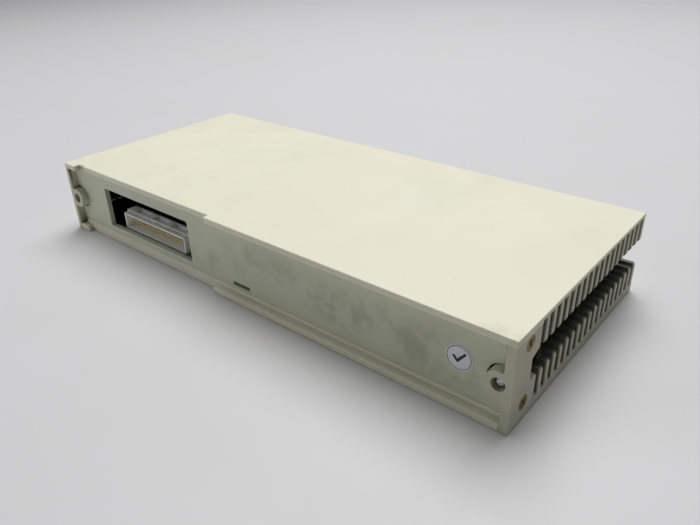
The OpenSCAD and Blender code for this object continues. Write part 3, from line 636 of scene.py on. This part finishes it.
def without_fins(node, low_z, high_z):
    """A cleaned copy of a node with everything cut away where its fins stand, at both ends."""
    start = fin_first - (fin_pitch - fin_thickness) / 2
    cutters = []
    for side in (-1, 1):
        xs = sorted((side * (fin_inner - CUT_DEEPER), side * (end_face + FIN_CLEAR)))
        cutters.append(tapered_block((xs[0], start, low_z), (xs[1], case_high.y + FIN_CLEAR, high_z)))
    bm = bmesh.new()
    bm.from_mesh(carved(mesh_from(joined_copy(node), node), *cutters))
    return flat_faced(bm, CUT_SAME_PLACE)


softened(without_fins("top_cover", upper_tip - FIN_CLEAR, slot_top), "top_cover_shell", cream_top, 0.3,
         "top_cover", ceiling)
for side in ("right", "left"):
    softened(without_fins(f"{side}_end_cap", rail_top, lower_tip + FIN_CLEAR),
             f"{side}_end_cap_moulding", shaded_cream_cap, 0.25, f"{side}_end_cap", ceiling)

# %% [markdown]
# Fins, screws, pins, lamps and terminals all repeat along straight rows, so one Geometry Nodes tree
# makes them all. It takes one model, lays out a row of places, repeats that row, and puts a copy at
# each place. The copies can face any way, and each can be turned by its own random amount, because no
# two screws stop at the same angle. A last switch mirrors everything to the module's other end.

# %% The tree for rows of copies
rows_tree = bpy.data.node_groups.new("rows_of_copies", "GeometryNodeTree")
rows_tree.interface.new_socket("Geometry", in_out="OUTPUT", socket_type="NodeSocketGeometry")
for label, kind in (("Model", "Object"), ("Finish", "Material"), ("First Place", "Vector"),
                    ("Count", "Int"), ("Step", "Vector"), ("Rows", "Int"), ("Row Step", "Vector"),
                    ("Facing", "Vector"), ("Turn Spread", "Float"), ("Both Ends", "Bool"), ("Seed", "Int")):
    rows_tree.interface.new_socket(label, in_out="INPUT", socket_type=f"NodeSocket{kind}")
given = add(rows_tree, "NodeGroupInput").outputs
row_starts = add(rows_tree, "GeometryNodeMeshLine", {
    "Count": given["Rows"], "Start Location": given["First Place"], "Offset": given["Row Step"]},
    mode="OFFSET")
row = add(rows_tree, "GeometryNodeMeshLine", {"Count": given["Count"], "Offset": given["Step"]},
          mode="OFFSET")
grid = add(rows_tree, "GeometryNodeInstanceOnPoints", {
    "Points": row_starts.outputs["Mesh"], "Instance": row.outputs["Mesh"]})
places = add(rows_tree, "GeometryNodeRealizeInstances", {"Geometry": grid.outputs["Instances"]})
model = add(rows_tree, "GeometryNodeObjectInfo", {"Object": given["Model"]}, transform_space="ORIGINAL")
backward = add(rows_tree, "ShaderNodeMath", {0: given["Turn Spread"], 1: -1.0}, operation="MULTIPLY")
spin = add(rows_tree, "FunctionNodeRandomValue", {
    2: backward.outputs["Value"], 3: given["Turn Spread"], "Seed": given["Seed"]}, data_type="FLOAT")
spun = add(rows_tree, "FunctionNodeAxisAngleToRotation", {"Axis": (0, 0, 1), "Angle": spin.outputs[1]})
faced = add(rows_tree, "FunctionNodeEulerToRotation", {"Euler": given["Facing"]})
turned = add(rows_tree, "FunctionNodeRotateRotation", {
    "Rotation": faced.outputs[0], "Rotate By": spun.outputs[0]}, rotation_space="LOCAL")
copies = add(rows_tree, "GeometryNodeInstanceOnPoints", {
    "Points": places.outputs[0], "Instance": model.outputs["Geometry"], "Rotation": turned.outputs[0]})
solid = add(rows_tree, "GeometryNodeRealizeInstances", {"Geometry": copies.outputs["Instances"]})
mirrored = add(rows_tree, "GeometryNodeTransform", {"Geometry": solid.outputs[0], "Scale": (-1, 1, 1)})
outward = add(rows_tree, "GeometryNodeFlipFaces", {"Mesh": mirrored.outputs[0]})
pair = add(rows_tree, "GeometryNodeJoinGeometry", {"Geometry": solid.outputs[0]})
rows_tree.links.new(outward.outputs[0], pair.inputs["Geometry"])
choice = add(rows_tree, "GeometryNodeSwitch", {
    "Switch": given["Both Ends"], "False": solid.outputs[0], "True": pair.outputs[0]},
    input_type="GEOMETRY")
real = add(rows_tree, "GeometryNodeRealizeInstances", {"Geometry": choice.outputs[0]})
finished = add(rows_tree, "GeometryNodeSetMaterial", {
    "Geometry": real.outputs[0], "Material": given["Finish"]})
add(rows_tree, "NodeGroupOutput", {"Geometry": finished.outputs[0]})
print("rows_of_copies:", len(rows_tree.nodes), "nodes")

# %% [markdown]
# A tree on a modifier takes its inputs by the sockets' identifiers, which the tree's interface gives.
# Once they are set, the evaluated object is turned into a plain mesh and the modifier is dropped.

# %% Lay out copies
TO_REAR, TO_FRONT, TO_RIGHT = (math.pi / 2, 0, 0), (-math.pi / 2, 0, 0), (0, math.pi / 2, 0)


def rows_piece(name, model_mesh, material, body, slot, replaced=(), **sizes):
    """One mesh of copies of the model, laid out by the tree."""
    model_object = shown(name + "_model", shade_round(model_mesh))
    piece = shown(name, bpy.data.meshes.new(name))
    rows = piece.modifiers.new("rows", "NODES")
    rows.node_group = rows_tree
    values = {"Count": 1, "Rows": 1, "Seed": 7, "Model": model_object, "Finish": material}
    values.update({key.replace("_", " ").title(): value for key, value in sizes.items()})
    for item in rows_tree.interface.items_tree:
        if item.in_out == "INPUT" and item.name in values:
            value = values[item.name]
            rows[item.identifier] = tuple(value) if isinstance(value, Vector) else value
    result = evaluated_mesh(piece)
    piece.modifiers.clear()
    piece.data = result
    bpy.data.objects.remove(model_object)
    finish_piece(piece, material, body, slot, *replaced)
    print(f"{name}: {len(result.polygons)} faces")
    return piece


def rows_for(node, name, model_mesh, material, **sizes):
    """Rows of copies that stand for one CAD node, on its body."""
    return rows_piece(name, model_mesh, material, body_of[node], slot_of[node], [node], **sizes)


# %% [markdown]
# One fin is a flat tongue with a round outer corner at its free end. Its outline is drawn from the sizes
# read above, the round corner by a formula, and it is then given its thickness and a softened rim.

# %% The fins
FIN_CORNER = 1.2 * MM
FIN_RIM = 0.14 * MM
CORNER_STEPS = 4


def thicken(bm, faces, depth):
    """Gives a flat outline its thickness along Y."""
    made = bmesh.ops.extrude_face_region(bm, geom=faces)["geom"]
    moved = [v for v in made if isinstance(v, bmesh.types.BMVert)]
    bmesh.ops.translate(bm, vec=(0, depth, 0), verts=moved)
    bmesh.ops.recalc_face_normals(bm, faces=bm.faces)


def fin_model(foot, tip):
    """A fin from its foot to its tip, both heights, with its rear face at y = 0."""
    toward = 1 if tip > foot else -1
    outline = [(fin_inner, foot), (end_face, foot)]
    for k in range(CORNER_STEPS + 1):
        angle = k / CORNER_STEPS * math.pi / 2
        outline.append((end_face - FIN_CORNER * (1 - math.cos(angle)),
                        tip - toward * FIN_CORNER * (1 - math.sin(angle))))
    outline.append((fin_inner, tip))
    bm = bmesh.new()
    face = bm.faces.new([bm.verts.new((x, 0, z)) for x, z in outline])
    thicken(bm, [face], fin_thickness)
    rims = [e for e in bm.edges if abs(e.verts[0].co.y - e.verts[1].co.y) < FIN_RIM
            and any(v.co.z != foot for v in e.verts)]
    bmesh.ops.bevel(bm, geom=rims, offset=FIN_RIM, offset_type="OFFSET", segments=2, profile=0.5,
                    affect="EDGES", clamp_overlap=True)
    return mesh_from(bm, "fin")


FOOT_OVERLAP = 0.05 * MM
for name, foot, tip in (("upper_fin_row", slot_top + FOOT_OVERLAP, upper_tip),
                        ("lower_fin_row", rail_top - FOOT_OVERLAP, lower_tip)):
    rows_piece(name, fin_model(foot, tip), shaded_cream_fins, "root", slot_of["right_end_cap"],
               first_place=(0, fin_first, 0), count=fin_count, step=(0, fin_pitch, 0), both_ends=True)

# %% [markdown]
# The small repeated parts stand where the CAD model has them, so their rule is read too. A node's mesh
# falls apart into loose solids, and their middles give the count and the step along each row. A set
# with copies at both ends is read at the right end only, and mirrored by the tree.

# %% Read how a node repeats
def layout_of(node, right_end_only=False):
    """The first solid's middle, one solid's size, and the two longest counts with their steps."""
    bm = joined_copy(node)
    boxes, waiting = [], set(bm.verts)
    while waiting:
        group, edge_of_group = set(), [min(waiting, key=lambda v: v.index)]
        while edge_of_group:
            v = edge_of_group.pop()
            if v in waiting:
                waiting.remove(v)
                group.add(v)
                edge_of_group.extend(e.other_vert(v) for e in v.link_edges)
        low = Vector([min(v.co[a] for v in group) for a in range(3)])
        high = Vector([max(v.co[a] for v in group) for a in range(3)])
        if not right_end_only or low.x > 0:
            boxes.append((low, high))
    bm.free()
    middles = [(low + high) / 2 for low, high in boxes]
    lines = []
    for axis in range(3):
        values = sorted({round(m[axis], 5) for m in middles})
        step = Vector((0, 0, 0))
        step[axis] = (values[-1] - values[0]) / max(1, len(values) - 1)
        lines.append((len(values), step))
    lines.sort(key=lambda line: -line[0])
    first = Vector([min(m[axis] for m in middles) for axis in range(3)])
    size = boxes[0][1] - boxes[0][0]
    rows = dict(count=lines[0][0], step=lines[0][1], rows=lines[1][0], row_step=lines[1][1])
    print(f"{node}: {rows['count']} x {rows['rows']}, each", [round(s / MM, 2) for s in size])
    return first, size, rows


# %% [markdown]
# Small parts are closed solids over a stack of rings: round rings for what is turned, square ones for
# pins, lamps and chips. A turned part is given as a short list of radii and heights. Every model points
# along +Z with its head or tip at the top, so that the tree can face it anywhere.

# %% Solids over rings, and cross recesses
def lofted(name, rings):
    """A closed solid over rings of places from the bottom up, all with as many corners."""
    bm = bmesh.new()
    made = [[bm.verts.new(place) for place in ring] for ring in rings]
    bm.faces.new(reversed(made[0]))
    bm.faces.new(made[-1])
    for lower, upper in zip(made, made[1:]):
        for k in range(len(lower)):
            n = (k + 1) % len(lower)
            bm.faces.new((lower[k], lower[n], upper[n], upper[k]))
    bmesh.ops.recalc_face_normals(bm, faces=bm.faces)
    return mesh_from(bm, name)


def round_ring(radius, z, sides):
    return [(radius * math.cos(2 * math.pi * k / sides), radius * math.sin(2 * math.pi * k / sides), z)
            for k in range(sides)]


def square_ring(half_x, half_y, z):
    return [(x * half_x, y * half_y, z) for x, y in ((-1, -1), (1, -1), (1, 1), (-1, 1))]


def turned_solid(profile, sides=24):
    """A closed solid from (radius, height) pairs in metres, from the bottom up, spun round Z."""
    return lofted("turned", [round_ring(radius, z, sides) for radius, z in profile])


RECESS_LIFT = 0.2 * MM
RECESS_TAPER = 0.55


def cross_recessed(mesh, arm, width, depth):
    """A cross recess from z = 0 that narrows downwards, as the point of a screwdriver does."""
    along = tapered_block((-arm, -width, -depth), (arm, width, RECESS_LIFT), RECESS_TAPER)
    across = tapered_block((-width, -arm, -depth), (width, arm, RECESS_LIFT), RECESS_TAPER)
    return carved(mesh, along, across)


print("helpers for small solids ready")

# %% [markdown]
# Each end cap is held by two countersunk screws. The head is a flat cone with a cross recess, and the
# shank is plain where it passes through the cap.

# %% End cap screws
first, size, rows = layout_of("end_cap_screws", right_end_only=True)
head_radius, shank_radius = size.y / 2, 1.5 * MM
cone = 1.7 * MM
screw = turned_solid([(shank_radius, -size.x), (shank_radius, -cone), (head_radius, -0.25 * MM),
                      (head_radius - 0.05 * MM, -0.05 * MM), (head_radius - 0.3 * MM, 0)])
screw = cross_recessed(screw, 1.75 * MM, 0.42 * MM, 1.2 * MM)
rows_for("end_cap_screws", "end_cap_screw_set", screw, chromate, seed=3, turn_spread=0.9, both_ends=True,
         first_place=first + Vector((size.x / 2, 0, 0)), facing=TO_RIGHT, **rows)

# %% [markdown]
# The board is held by pan-head screws, and the terminal block by two more. They differ only in size.

# %% Board and block screws
def pan_head_screw(head_radius, head_height, shank_radius, length):
    """A pan-head cross screw whose head's top is at z = 0."""
    screw = turned_solid([(shank_radius * 0.7, -length), (shank_radius, -length + 0.6 * MM),
                          (shank_radius, -head_height), (head_radius, -head_height),
                          (head_radius, -head_height * 0.45), (head_radius * 0.9, -head_height * 0.15),
                          (head_radius * 0.7, 0)])
    return cross_recessed(screw, head_radius * 0.6, head_radius * 0.14, head_height * 0.5)


first, size, rows = layout_of("board_screws")
rows_for("board_screws", "board_screw_set", pan_head_screw(size.x / 2, 1.8 * MM, 1.3 * MM, size.z), zinc,
         seed=11, turn_spread=1.5, first_place=first + Vector((0, 0, size.z / 2)), **rows)
first, size, rows = layout_of("block_fixing_screws")
screw = pan_head_screw(size.x / 2, 2.4 * MM, 1.25 * MM, size.y)
rows_for("block_fixing_screws", "block_screw_set", screw, zinc, seed=5, turn_spread=1.5,
         first_place=first + Vector((0, size.y / 2, 0)), facing=TO_FRONT, **rows)

# %% [markdown]
# A terminal screw is cheese-headed with one slot, which an electrician's flat blade turns. The head is
# turned with a softened rim, and the slot is carved across it. Each screw stopped at its own angle.

# %% Terminal screws
first, size, rows = layout_of("terminal_screws")
head_radius, head_height, shank_radius = size.x / 2, 2.2 * MM, 1.75 * MM
screw = turned_solid([(shank_radius, -size.y), (shank_radius, -head_height), (head_radius, -head_height),
                      (head_radius, -0.35 * MM), (head_radius - 0.12 * MM, -0.12 * MM),
                      (head_radius - 0.4 * MM, 0)])
slot_cut = tapered_block((-4 * MM, -0.4 * MM, -1.0 * MM), (4 * MM, 0.4 * MM, 0.3 * MM), 0.9)
rows_for("terminal_screws", "terminal_screw_set", carved(screw, slot_cut), zinc, seed=9, turn_spread=1.4,
         first_place=first + Vector((0, size.y / 2, 0)), facing=TO_FRONT, **rows)

# %% [markdown]
# Under each head lies a square clamp plate that presses the wire down. It is stamped: its corners are
# cut, the screw's hole goes through it, and a shallow groove runs across so that its rim holds the wire.

# %% Terminal clamps
def clamp_plate(side, thickness, hole_radius):
    """A square plate with a hole, cut corners and a shallow groove across its face."""
    bm = bmesh.new()
    bm.from_mesh(turned_solid([(side / 2, -thickness), (side / 2, 0)], sides=4))
    bmesh.ops.rotate(bm, verts=bm.verts, cent=(0, 0, 0), matrix=Matrix.Rotation(math.pi / 4, 3, "Z"))
    bmesh.ops.scale(bm, verts=bm.verts, vec=(math.sqrt(2), math.sqrt(2), 1))
    upright = [e for e in bm.edges if abs(e.verts[0].co.z - e.verts[1].co.z) > thickness / 2]
    bmesh.ops.bevel(bm, geom=upright, offset=0.7 * MM, segments=2, profile=0.5, affect="EDGES")
    hole = turned_solid([(hole_radius, -thickness * 2), (hole_radius, thickness)], sides=20)
    groove = tapered_block((-side * 0.36, -side, -thickness * 0.3), (side * 0.36, side, thickness), 0.96)
    return carved(mesh_from(bm, "clamp"), hole, groove)


first, size, rows = layout_of("terminal_clamps")
rows_for("terminal_clamps", "terminal_clamp_set", clamp_plate(size.x, size.y, shank_radius), zinc,
         first_place=first + Vector((0, size.y / 2, 0)), facing=TO_FRONT, **rows)

# %% [markdown]
# Behind each clamp a bent tail of tinned strip leads down to the board. It follows a few points, and a
# ring of four corners stands at each. At a bend the ring lies at half the angle and is widened to match,
# so that the strip keeps its thickness round the corner.

# %% Terminal tails
def bent_strip(points, width, half_thickness):
    """A strip of metal that follows points in the YZ plane, with its corners cut at half the angle."""
    rings = []
    for k, (y, z) in enumerate(points):
        here = Vector((y, z))
        into = (here - Vector(points[k - 1])).normalized() if k else None
        out = (Vector(points[k + 1]) - here).normalized() if k + 1 < len(points) else None
        along = ((into or out) + (out or into)).normalized()
        side = Vector((-along.y, along.x)) * half_thickness / max(0.5, along.dot(into or out))
        rings.append([(x, y + s * side.x, z + s * side.y)
                      for x, s in ((-width / 2, -1), (width / 2, -1), (width / 2, 1), (-width / 2, 1))])
    return lofted("strip", rings)


first, size, rows = layout_of("terminal_tails")
half = 0.5 * MM
low, high = first - size / 2, first + size / 2
tail = bent_strip([(low.y + half, low.z), (low.y + half, high.z - 2 * half),
                   (low.y + 2 * half, high.z - half), (high.y, high.z - half)], size.x, half * 0.98)
rows_for("terminal_tails", "terminal_tail_set", tail, tinned, first_place=(first.x, 0, 0), **rows)

# %% [markdown]
# The bus connector has two rows of square pins with pointed tips, which guide the plug. The pins are
# drawn wire cut to length, flashed with gold. The lamp board's header is the same wire, bent down.

# %% Pins
def pointed_pin(side, length, point):
    """A square pin along Z with its blunt point at z = 0."""
    half, tip = side / 2, side / 7
    return lofted("pin", [square_ring(h, h, z) for h, z in ((half, -length), (half, -point), (tip, 0))])


first, size, rows = layout_of("connector_pins")
rows_for("connector_pins", "connector_pin_set", pointed_pin(size.x, size.y, 0.9 * MM), gilt,
         first_place=first - Vector((0, size.y / 2, 0)), facing=TO_REAR, **rows)
first, size, rows = layout_of("lamp_header")
low, high = first - size / 2, first + size / 2
half = 0.3 * MM
pin = bent_strip([(high.y, high.z - half), (low.y + 2 * half, high.z - half),
                  (low.y + half, high.z - 2 * half), (low.y + half, low.z)], size.x, half * 0.98)
rows_for("lamp_header", "lamp_header_pins", pin, gilt, first_place=(first.x, 0, 0), **rows)

# %% [markdown]
# A status lamp is a small bar of clear-cast red resin. Its front is crowned like a lens, so it is a
# block whose front face is inset twice, each time a little further forward.

# %% Status lamps
def lamp_bar(width, height, depth):
    """A bar lamp along Z with a crowned face whose top is at z = 0."""
    steps = ((0.0, -depth), (0.0, -0.9 * MM), (0.1, -0.45 * MM), (0.34, -0.12 * MM), (0.7, 0.0))
    return lofted("lamp", [square_ring((1 - inset) * width / 2, (height - inset * width) / 2, z)
                           for inset, z in steps])


first, size, rows = layout_of("status_lamps")
rows_for("status_lamps", "status_lamp_set", lamp_bar(size.x, size.z, size.y), lamp_red,
         first_place=first + Vector((0, size.y / 2, 0)), facing=TO_FRONT, **rows)

# %% [markdown]
# A chip is a moulded body with drafted sides, a half-round notch at one end and two rows of tinned
# legs. One model serves the logic chips and the optocouplers; only its size and its resin change. The
# legs are a second set of rows, because they are of another material.

# %% Chips and their legs
def chip_body(length, width, height):
    """A chip's body just above z = 0, widest at its parting line, with a notch in its top."""
    draft, foot = 0.35 * MM, 0.5 * MM
    body = lofted("chip", [square_ring(length / 2 - inset, width / 2 - inset, z)
                           for inset, z in ((draft, foot), (0.0, height * 0.55), (draft, height))])
    notch = turned_solid([(0.9 * MM, -0.5 * MM), (0.9 * MM, 1 * MM)], sides=16)
    notch.transform(Matrix.Translation((-length / 2, 0, height)))
    return carved(body, notch)


LEG_PITCH = 2.54 * MM
for node, resin in (("logic_chips", black_resin), ("optocouplers", white_resin)):
    first, size, rows = layout_of(node)
    board_top = first.z - size.z / 2
    rows_for(node, node + "_bodies", chip_body(size.x, size.y, size.z), resin,
             first_place=(first.x, first.y, board_top), **rows)
    leg_count = int(size.x / LEG_PITCH)
    reach = size.y / 2
    leg = bent_strip([(-reach + 0.3 * MM, 2.2 * MM), (-reach - 0.45 * MM, 2.2 * MM),
                      (-reach - 0.7 * MM, 1.9 * MM), (-reach - 0.75 * MM, 0.0)], 0.5 * MM, 0.12 * MM)
    other = leg.copy()
    other.transform(Matrix.Rotation(math.pi, 4, "Z"))
    both = bmesh.new()
    both.from_mesh(leg)
    both.from_mesh(other)
    leg_start = first.x - (leg_count - 1) * LEG_PITCH / 2
    rows_piece(node + "_legs", mesh_from(both, "legs"), tinned, "root", slot_of["transistor_tabs"],
               first_place=(leg_start, first.y, board_top), count=leg_count, step=(LEG_PITCH, 0, 0),
               rows=rows["count"], row_step=rows["step"])

# %% [markdown]
# The two mounting screws stay in the case when it is taken off the rack, so each has a thread only at
# its tip and a thinner neck behind it. A thread could be a Screw modifier on a small profile, but its
# ends would stay open and its tip blunt. Here the surface's radius depends on the height plus the angle,
# so each ring of the mesh is the last one turned a little further, and the same formula narrows the
# thread at its tip and lets it run out at the neck.

# %% The mounting screws' thread
THREAD_PITCH = 0.7 * MM
THREAD_RADIUS = 1.95 * MM
THREAD_DEPTH = 0.42 * MM
NECK_RADIUS = 1.4 * MM
TIP_CHAMFER = 0.75 * MM
RINGS_PER_PITCH = 8
SCREW_SIDES = 32
SLOT_REACH, SLOT_HALF, SLOT_DEPTH = 2 * MM, 0.45 * MM, 1.4 * MM


def thread_ring(along, thread_end):
    """One ring of the thread, at a distance along the screw from its tip at z = 0."""
    tip_limit = THREAD_RADIUS - TIP_CHAMFER + along * 0.9
    end_limit = NECK_RADIUS + (thread_end - along) * 1.2
    ring = []
    for side in range(SCREW_SIDES):
        angle = 2 * math.pi * side / SCREW_SIDES
        phase = (along / THREAD_PITCH - side / SCREW_SIDES) % 1.0
        radius = min(THREAD_RADIUS - THREAD_DEPTH * abs(2 * phase - 1), tip_limit, end_limit)
        ring.append((radius * math.cos(angle), radius * math.sin(angle), -along))
    return ring


print("thread:", round(2 * THREAD_RADIUS / MM, 1), "x", round(THREAD_PITCH / MM, 2), "mm")

# %% [markdown]
# The rest of the screw is turned: the neck, and a cheese head with a cross in it. The thread's end and
# the head's rear are read from the CAD solid, as heights at which its surface has those radii. The faces
# behind the head's rear get the second material, which is nearly black as painted shade.

# %% Mounting screws
SAME_RADIUS_MM = 0.1


def mounting_screw(node, name, body, turn):
    """A captive screw along -Y with a helical thread at its tip and a cross-recessed cheese head."""
    low, high = (Vector(v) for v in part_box(node))
    axis = (low + high) / 2
    length = high.y - low.y
    reach = {}
    for v in nodes[node].data.vertices:
        radius = round(math.hypot(v.co.x - axis.x, v.co.z - axis.z) / MM, 1)
        reach.setdefault(radius, []).append(v.co.y - low.y)
    head_radius = (high.x - low.x) / 2
    thread_end = max(y for r, ys in reach.items() if abs(r - THREAD_RADIUS / MM) < SAME_RADIUS_MM
                     for y in ys if y < length / 2)
    head_rear = min(reach[round(head_radius / MM, 1)])
    steps = int(thread_end / THREAD_PITCH * RINGS_PER_PITCH)
    rings = [thread_ring(thread_end * k / steps, thread_end) for k in range(steps + 1)]
    rings += [round_ring(radius, -along, SCREW_SIDES) for radius, along in (
        (NECK_RADIUS, thread_end + 0.05 * MM), (NECK_RADIUS, head_rear),
        (head_radius - 0.1 * MM, head_rear), (head_radius, head_rear + 0.1 * MM),
        (head_radius, length - 0.3 * MM), (head_radius - 0.25 * MM, length))]
    slot_low, slot_high = -length - RECESS_LIFT, -length + SLOT_DEPTH
    along_slot = tapered_block((-SLOT_REACH, -SLOT_HALF, slot_low), (SLOT_REACH, SLOT_HALF, slot_high))
    cross_slot = tapered_block((-SLOT_HALF, -SLOT_REACH, slot_low), (SLOT_HALF, SLOT_REACH, slot_high))
    mesh = carved(lofted(name, rings[::-1]), along_slot, cross_slot)
    place = Matrix.Translation((axis.x, low.y, axis.z)) @ Matrix.Rotation(math.pi / 2, 4, "X")
    mesh.transform(place @ Matrix.Rotation(turn, 4, "Z"))
    piece = shown(name, shade_round(mesh, 40))
    finish_piece(piece, tip_zinc, body, slot_of[node], node)
    piece.data.materials.append(shade_dark_zinc)
    for face in piece.data.polygons:
        face.material_index = int(face.center.y > low.y + head_rear - 0.1 * MM)
    print(f"{name}: thread, mm: {thread_end / MM:.1f}, {len(mesh.polygons)} faces")


mounting_screw("right_mounting_screw", "right_captive_screw", "right_screw", 0.3)
mounting_screw("left_mounting_screw", "left_captive_screw", "left_screw", 1.1)

# %% [markdown]
# The inspection sticker is a disc of coated paper. The mark stamped on it is a plain tick inside a thin
# ring, drawn as raised ink: a film of 0.03 mm that lies on the paper.

# %% Inspection mark
sticker_low, sticker_high = (Vector(v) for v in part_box("inspection_sticker"))
sticker_middle = (sticker_low + sticker_high) / 2
sticker_radius = (sticker_high.x - sticker_low.x) / 2
INK_FILM = 0.03 * MM
INK_SUNK = 0.005 * MM
RING_STEPS = 48
RING_SHARES = (0.86, 0.91)
tick = [(-0.50, 0.02), (-0.36, 0.16), (-0.12, -0.10), (0.42, 0.52), (0.54, 0.40), (-0.10, -0.42)]
bm = bmesh.new()
bm.faces.new([bm.verts.new((x * sticker_radius, 0, z * sticker_radius)) for x, z in tick])
inner, outer = ([bm.verts.new((r * sticker_radius * math.cos(2 * math.pi * k / RING_STEPS), 0,
                               r * sticker_radius * math.sin(2 * math.pi * k / RING_STEPS)))
                 for k in range(RING_STEPS)] for r in RING_SHARES)
for k in range(RING_STEPS):
    n = (k + 1) % RING_STEPS
    bm.faces.new((inner[k], inner[n], outer[n], outer[k]))
thicken(bm, bm.faces[:], -INK_FILM)
mark_place = (sticker_middle.x, sticker_low.y + INK_SUNK, sticker_middle.z)
bmesh.ops.translate(bm, vec=mark_place, verts=bm.verts)
finish_piece(shown("inspection_mark", mesh_from(bm, "inspection_mark")), ink, "root",
             slot_of["inspection_sticker"])
print("sticker radius, mm:", round(sticker_radius / MM, 2))

# %% [markdown]
# The remaining CAD nodes already have their real shape, so they stay and only get a finish. The
# insulating shield's paper is nearly black, which is painted shade for the dark left part of the window,
# and its two clips are white, a painted highlight for the two bright bars beside it.

# %% Finishes for the CAD nodes
finish_of = {
    "captive_bushes": brass, "left_screw_washer": shade_dark_zinc, "right_screw_washer": shade_dark_zinc,
    "inspection_sticker": coated_paper, "main_board": board_finish, "resistor_networks": dipped,
    "capacitors": sleeve, "heat_sink": anodised, "power_transistors": black_resin,
    "transistor_tabs": tinned, "fuse_tube": glass, "fuse_caps": tinned, "fuse_clips": tinned,
    "lamp_board": board_finish, "lamp_window": smoked, "door_hinge_pins": zinc,
    # The shield's near-black is painted shade; its white clips are a painted highlight.
    "wiring_label": plain_paper, "insulating_shield": shade_black_fish_paper, "shield_clips": nylon,
}
for node, material in finish_of.items():
    nodes[node].data.materials.clear()
    nodes[node].data.materials.append(material)
print("nodes finished:", len(finish_of))

# %% [markdown]
# The bench top is a plain pale laminate, with no pattern of its own.

# %% Floor
BENCH_REACH = 6.0
bm = bmesh.new()
bmesh.ops.create_grid(bm, x_segments=1, y_segments=1, size=BENCH_REACH)
bench_finish, tree, shader, place = new_finish("pale_laminate", IOR=1.5)
bench_colour = blotched(tree, place, 180, 0.3, 0.7, "#D1D1D2", "#CDCCCC")
tree.links.new(bench_colour, shader.inputs["Base Color"])
tree.links.new(patches(tree, place, 180, 0.3, 0.7, 0.5, 0.6), shader.inputs["Roughness"])
floor = shown("bench_top", mesh_from(bm, "bench_top"))
floor.data.materials.append(bench_finish)
print("bench top, m across:", round(2 * max(v.co.x for v in floor.data.vertices), 1))

# %% [markdown]
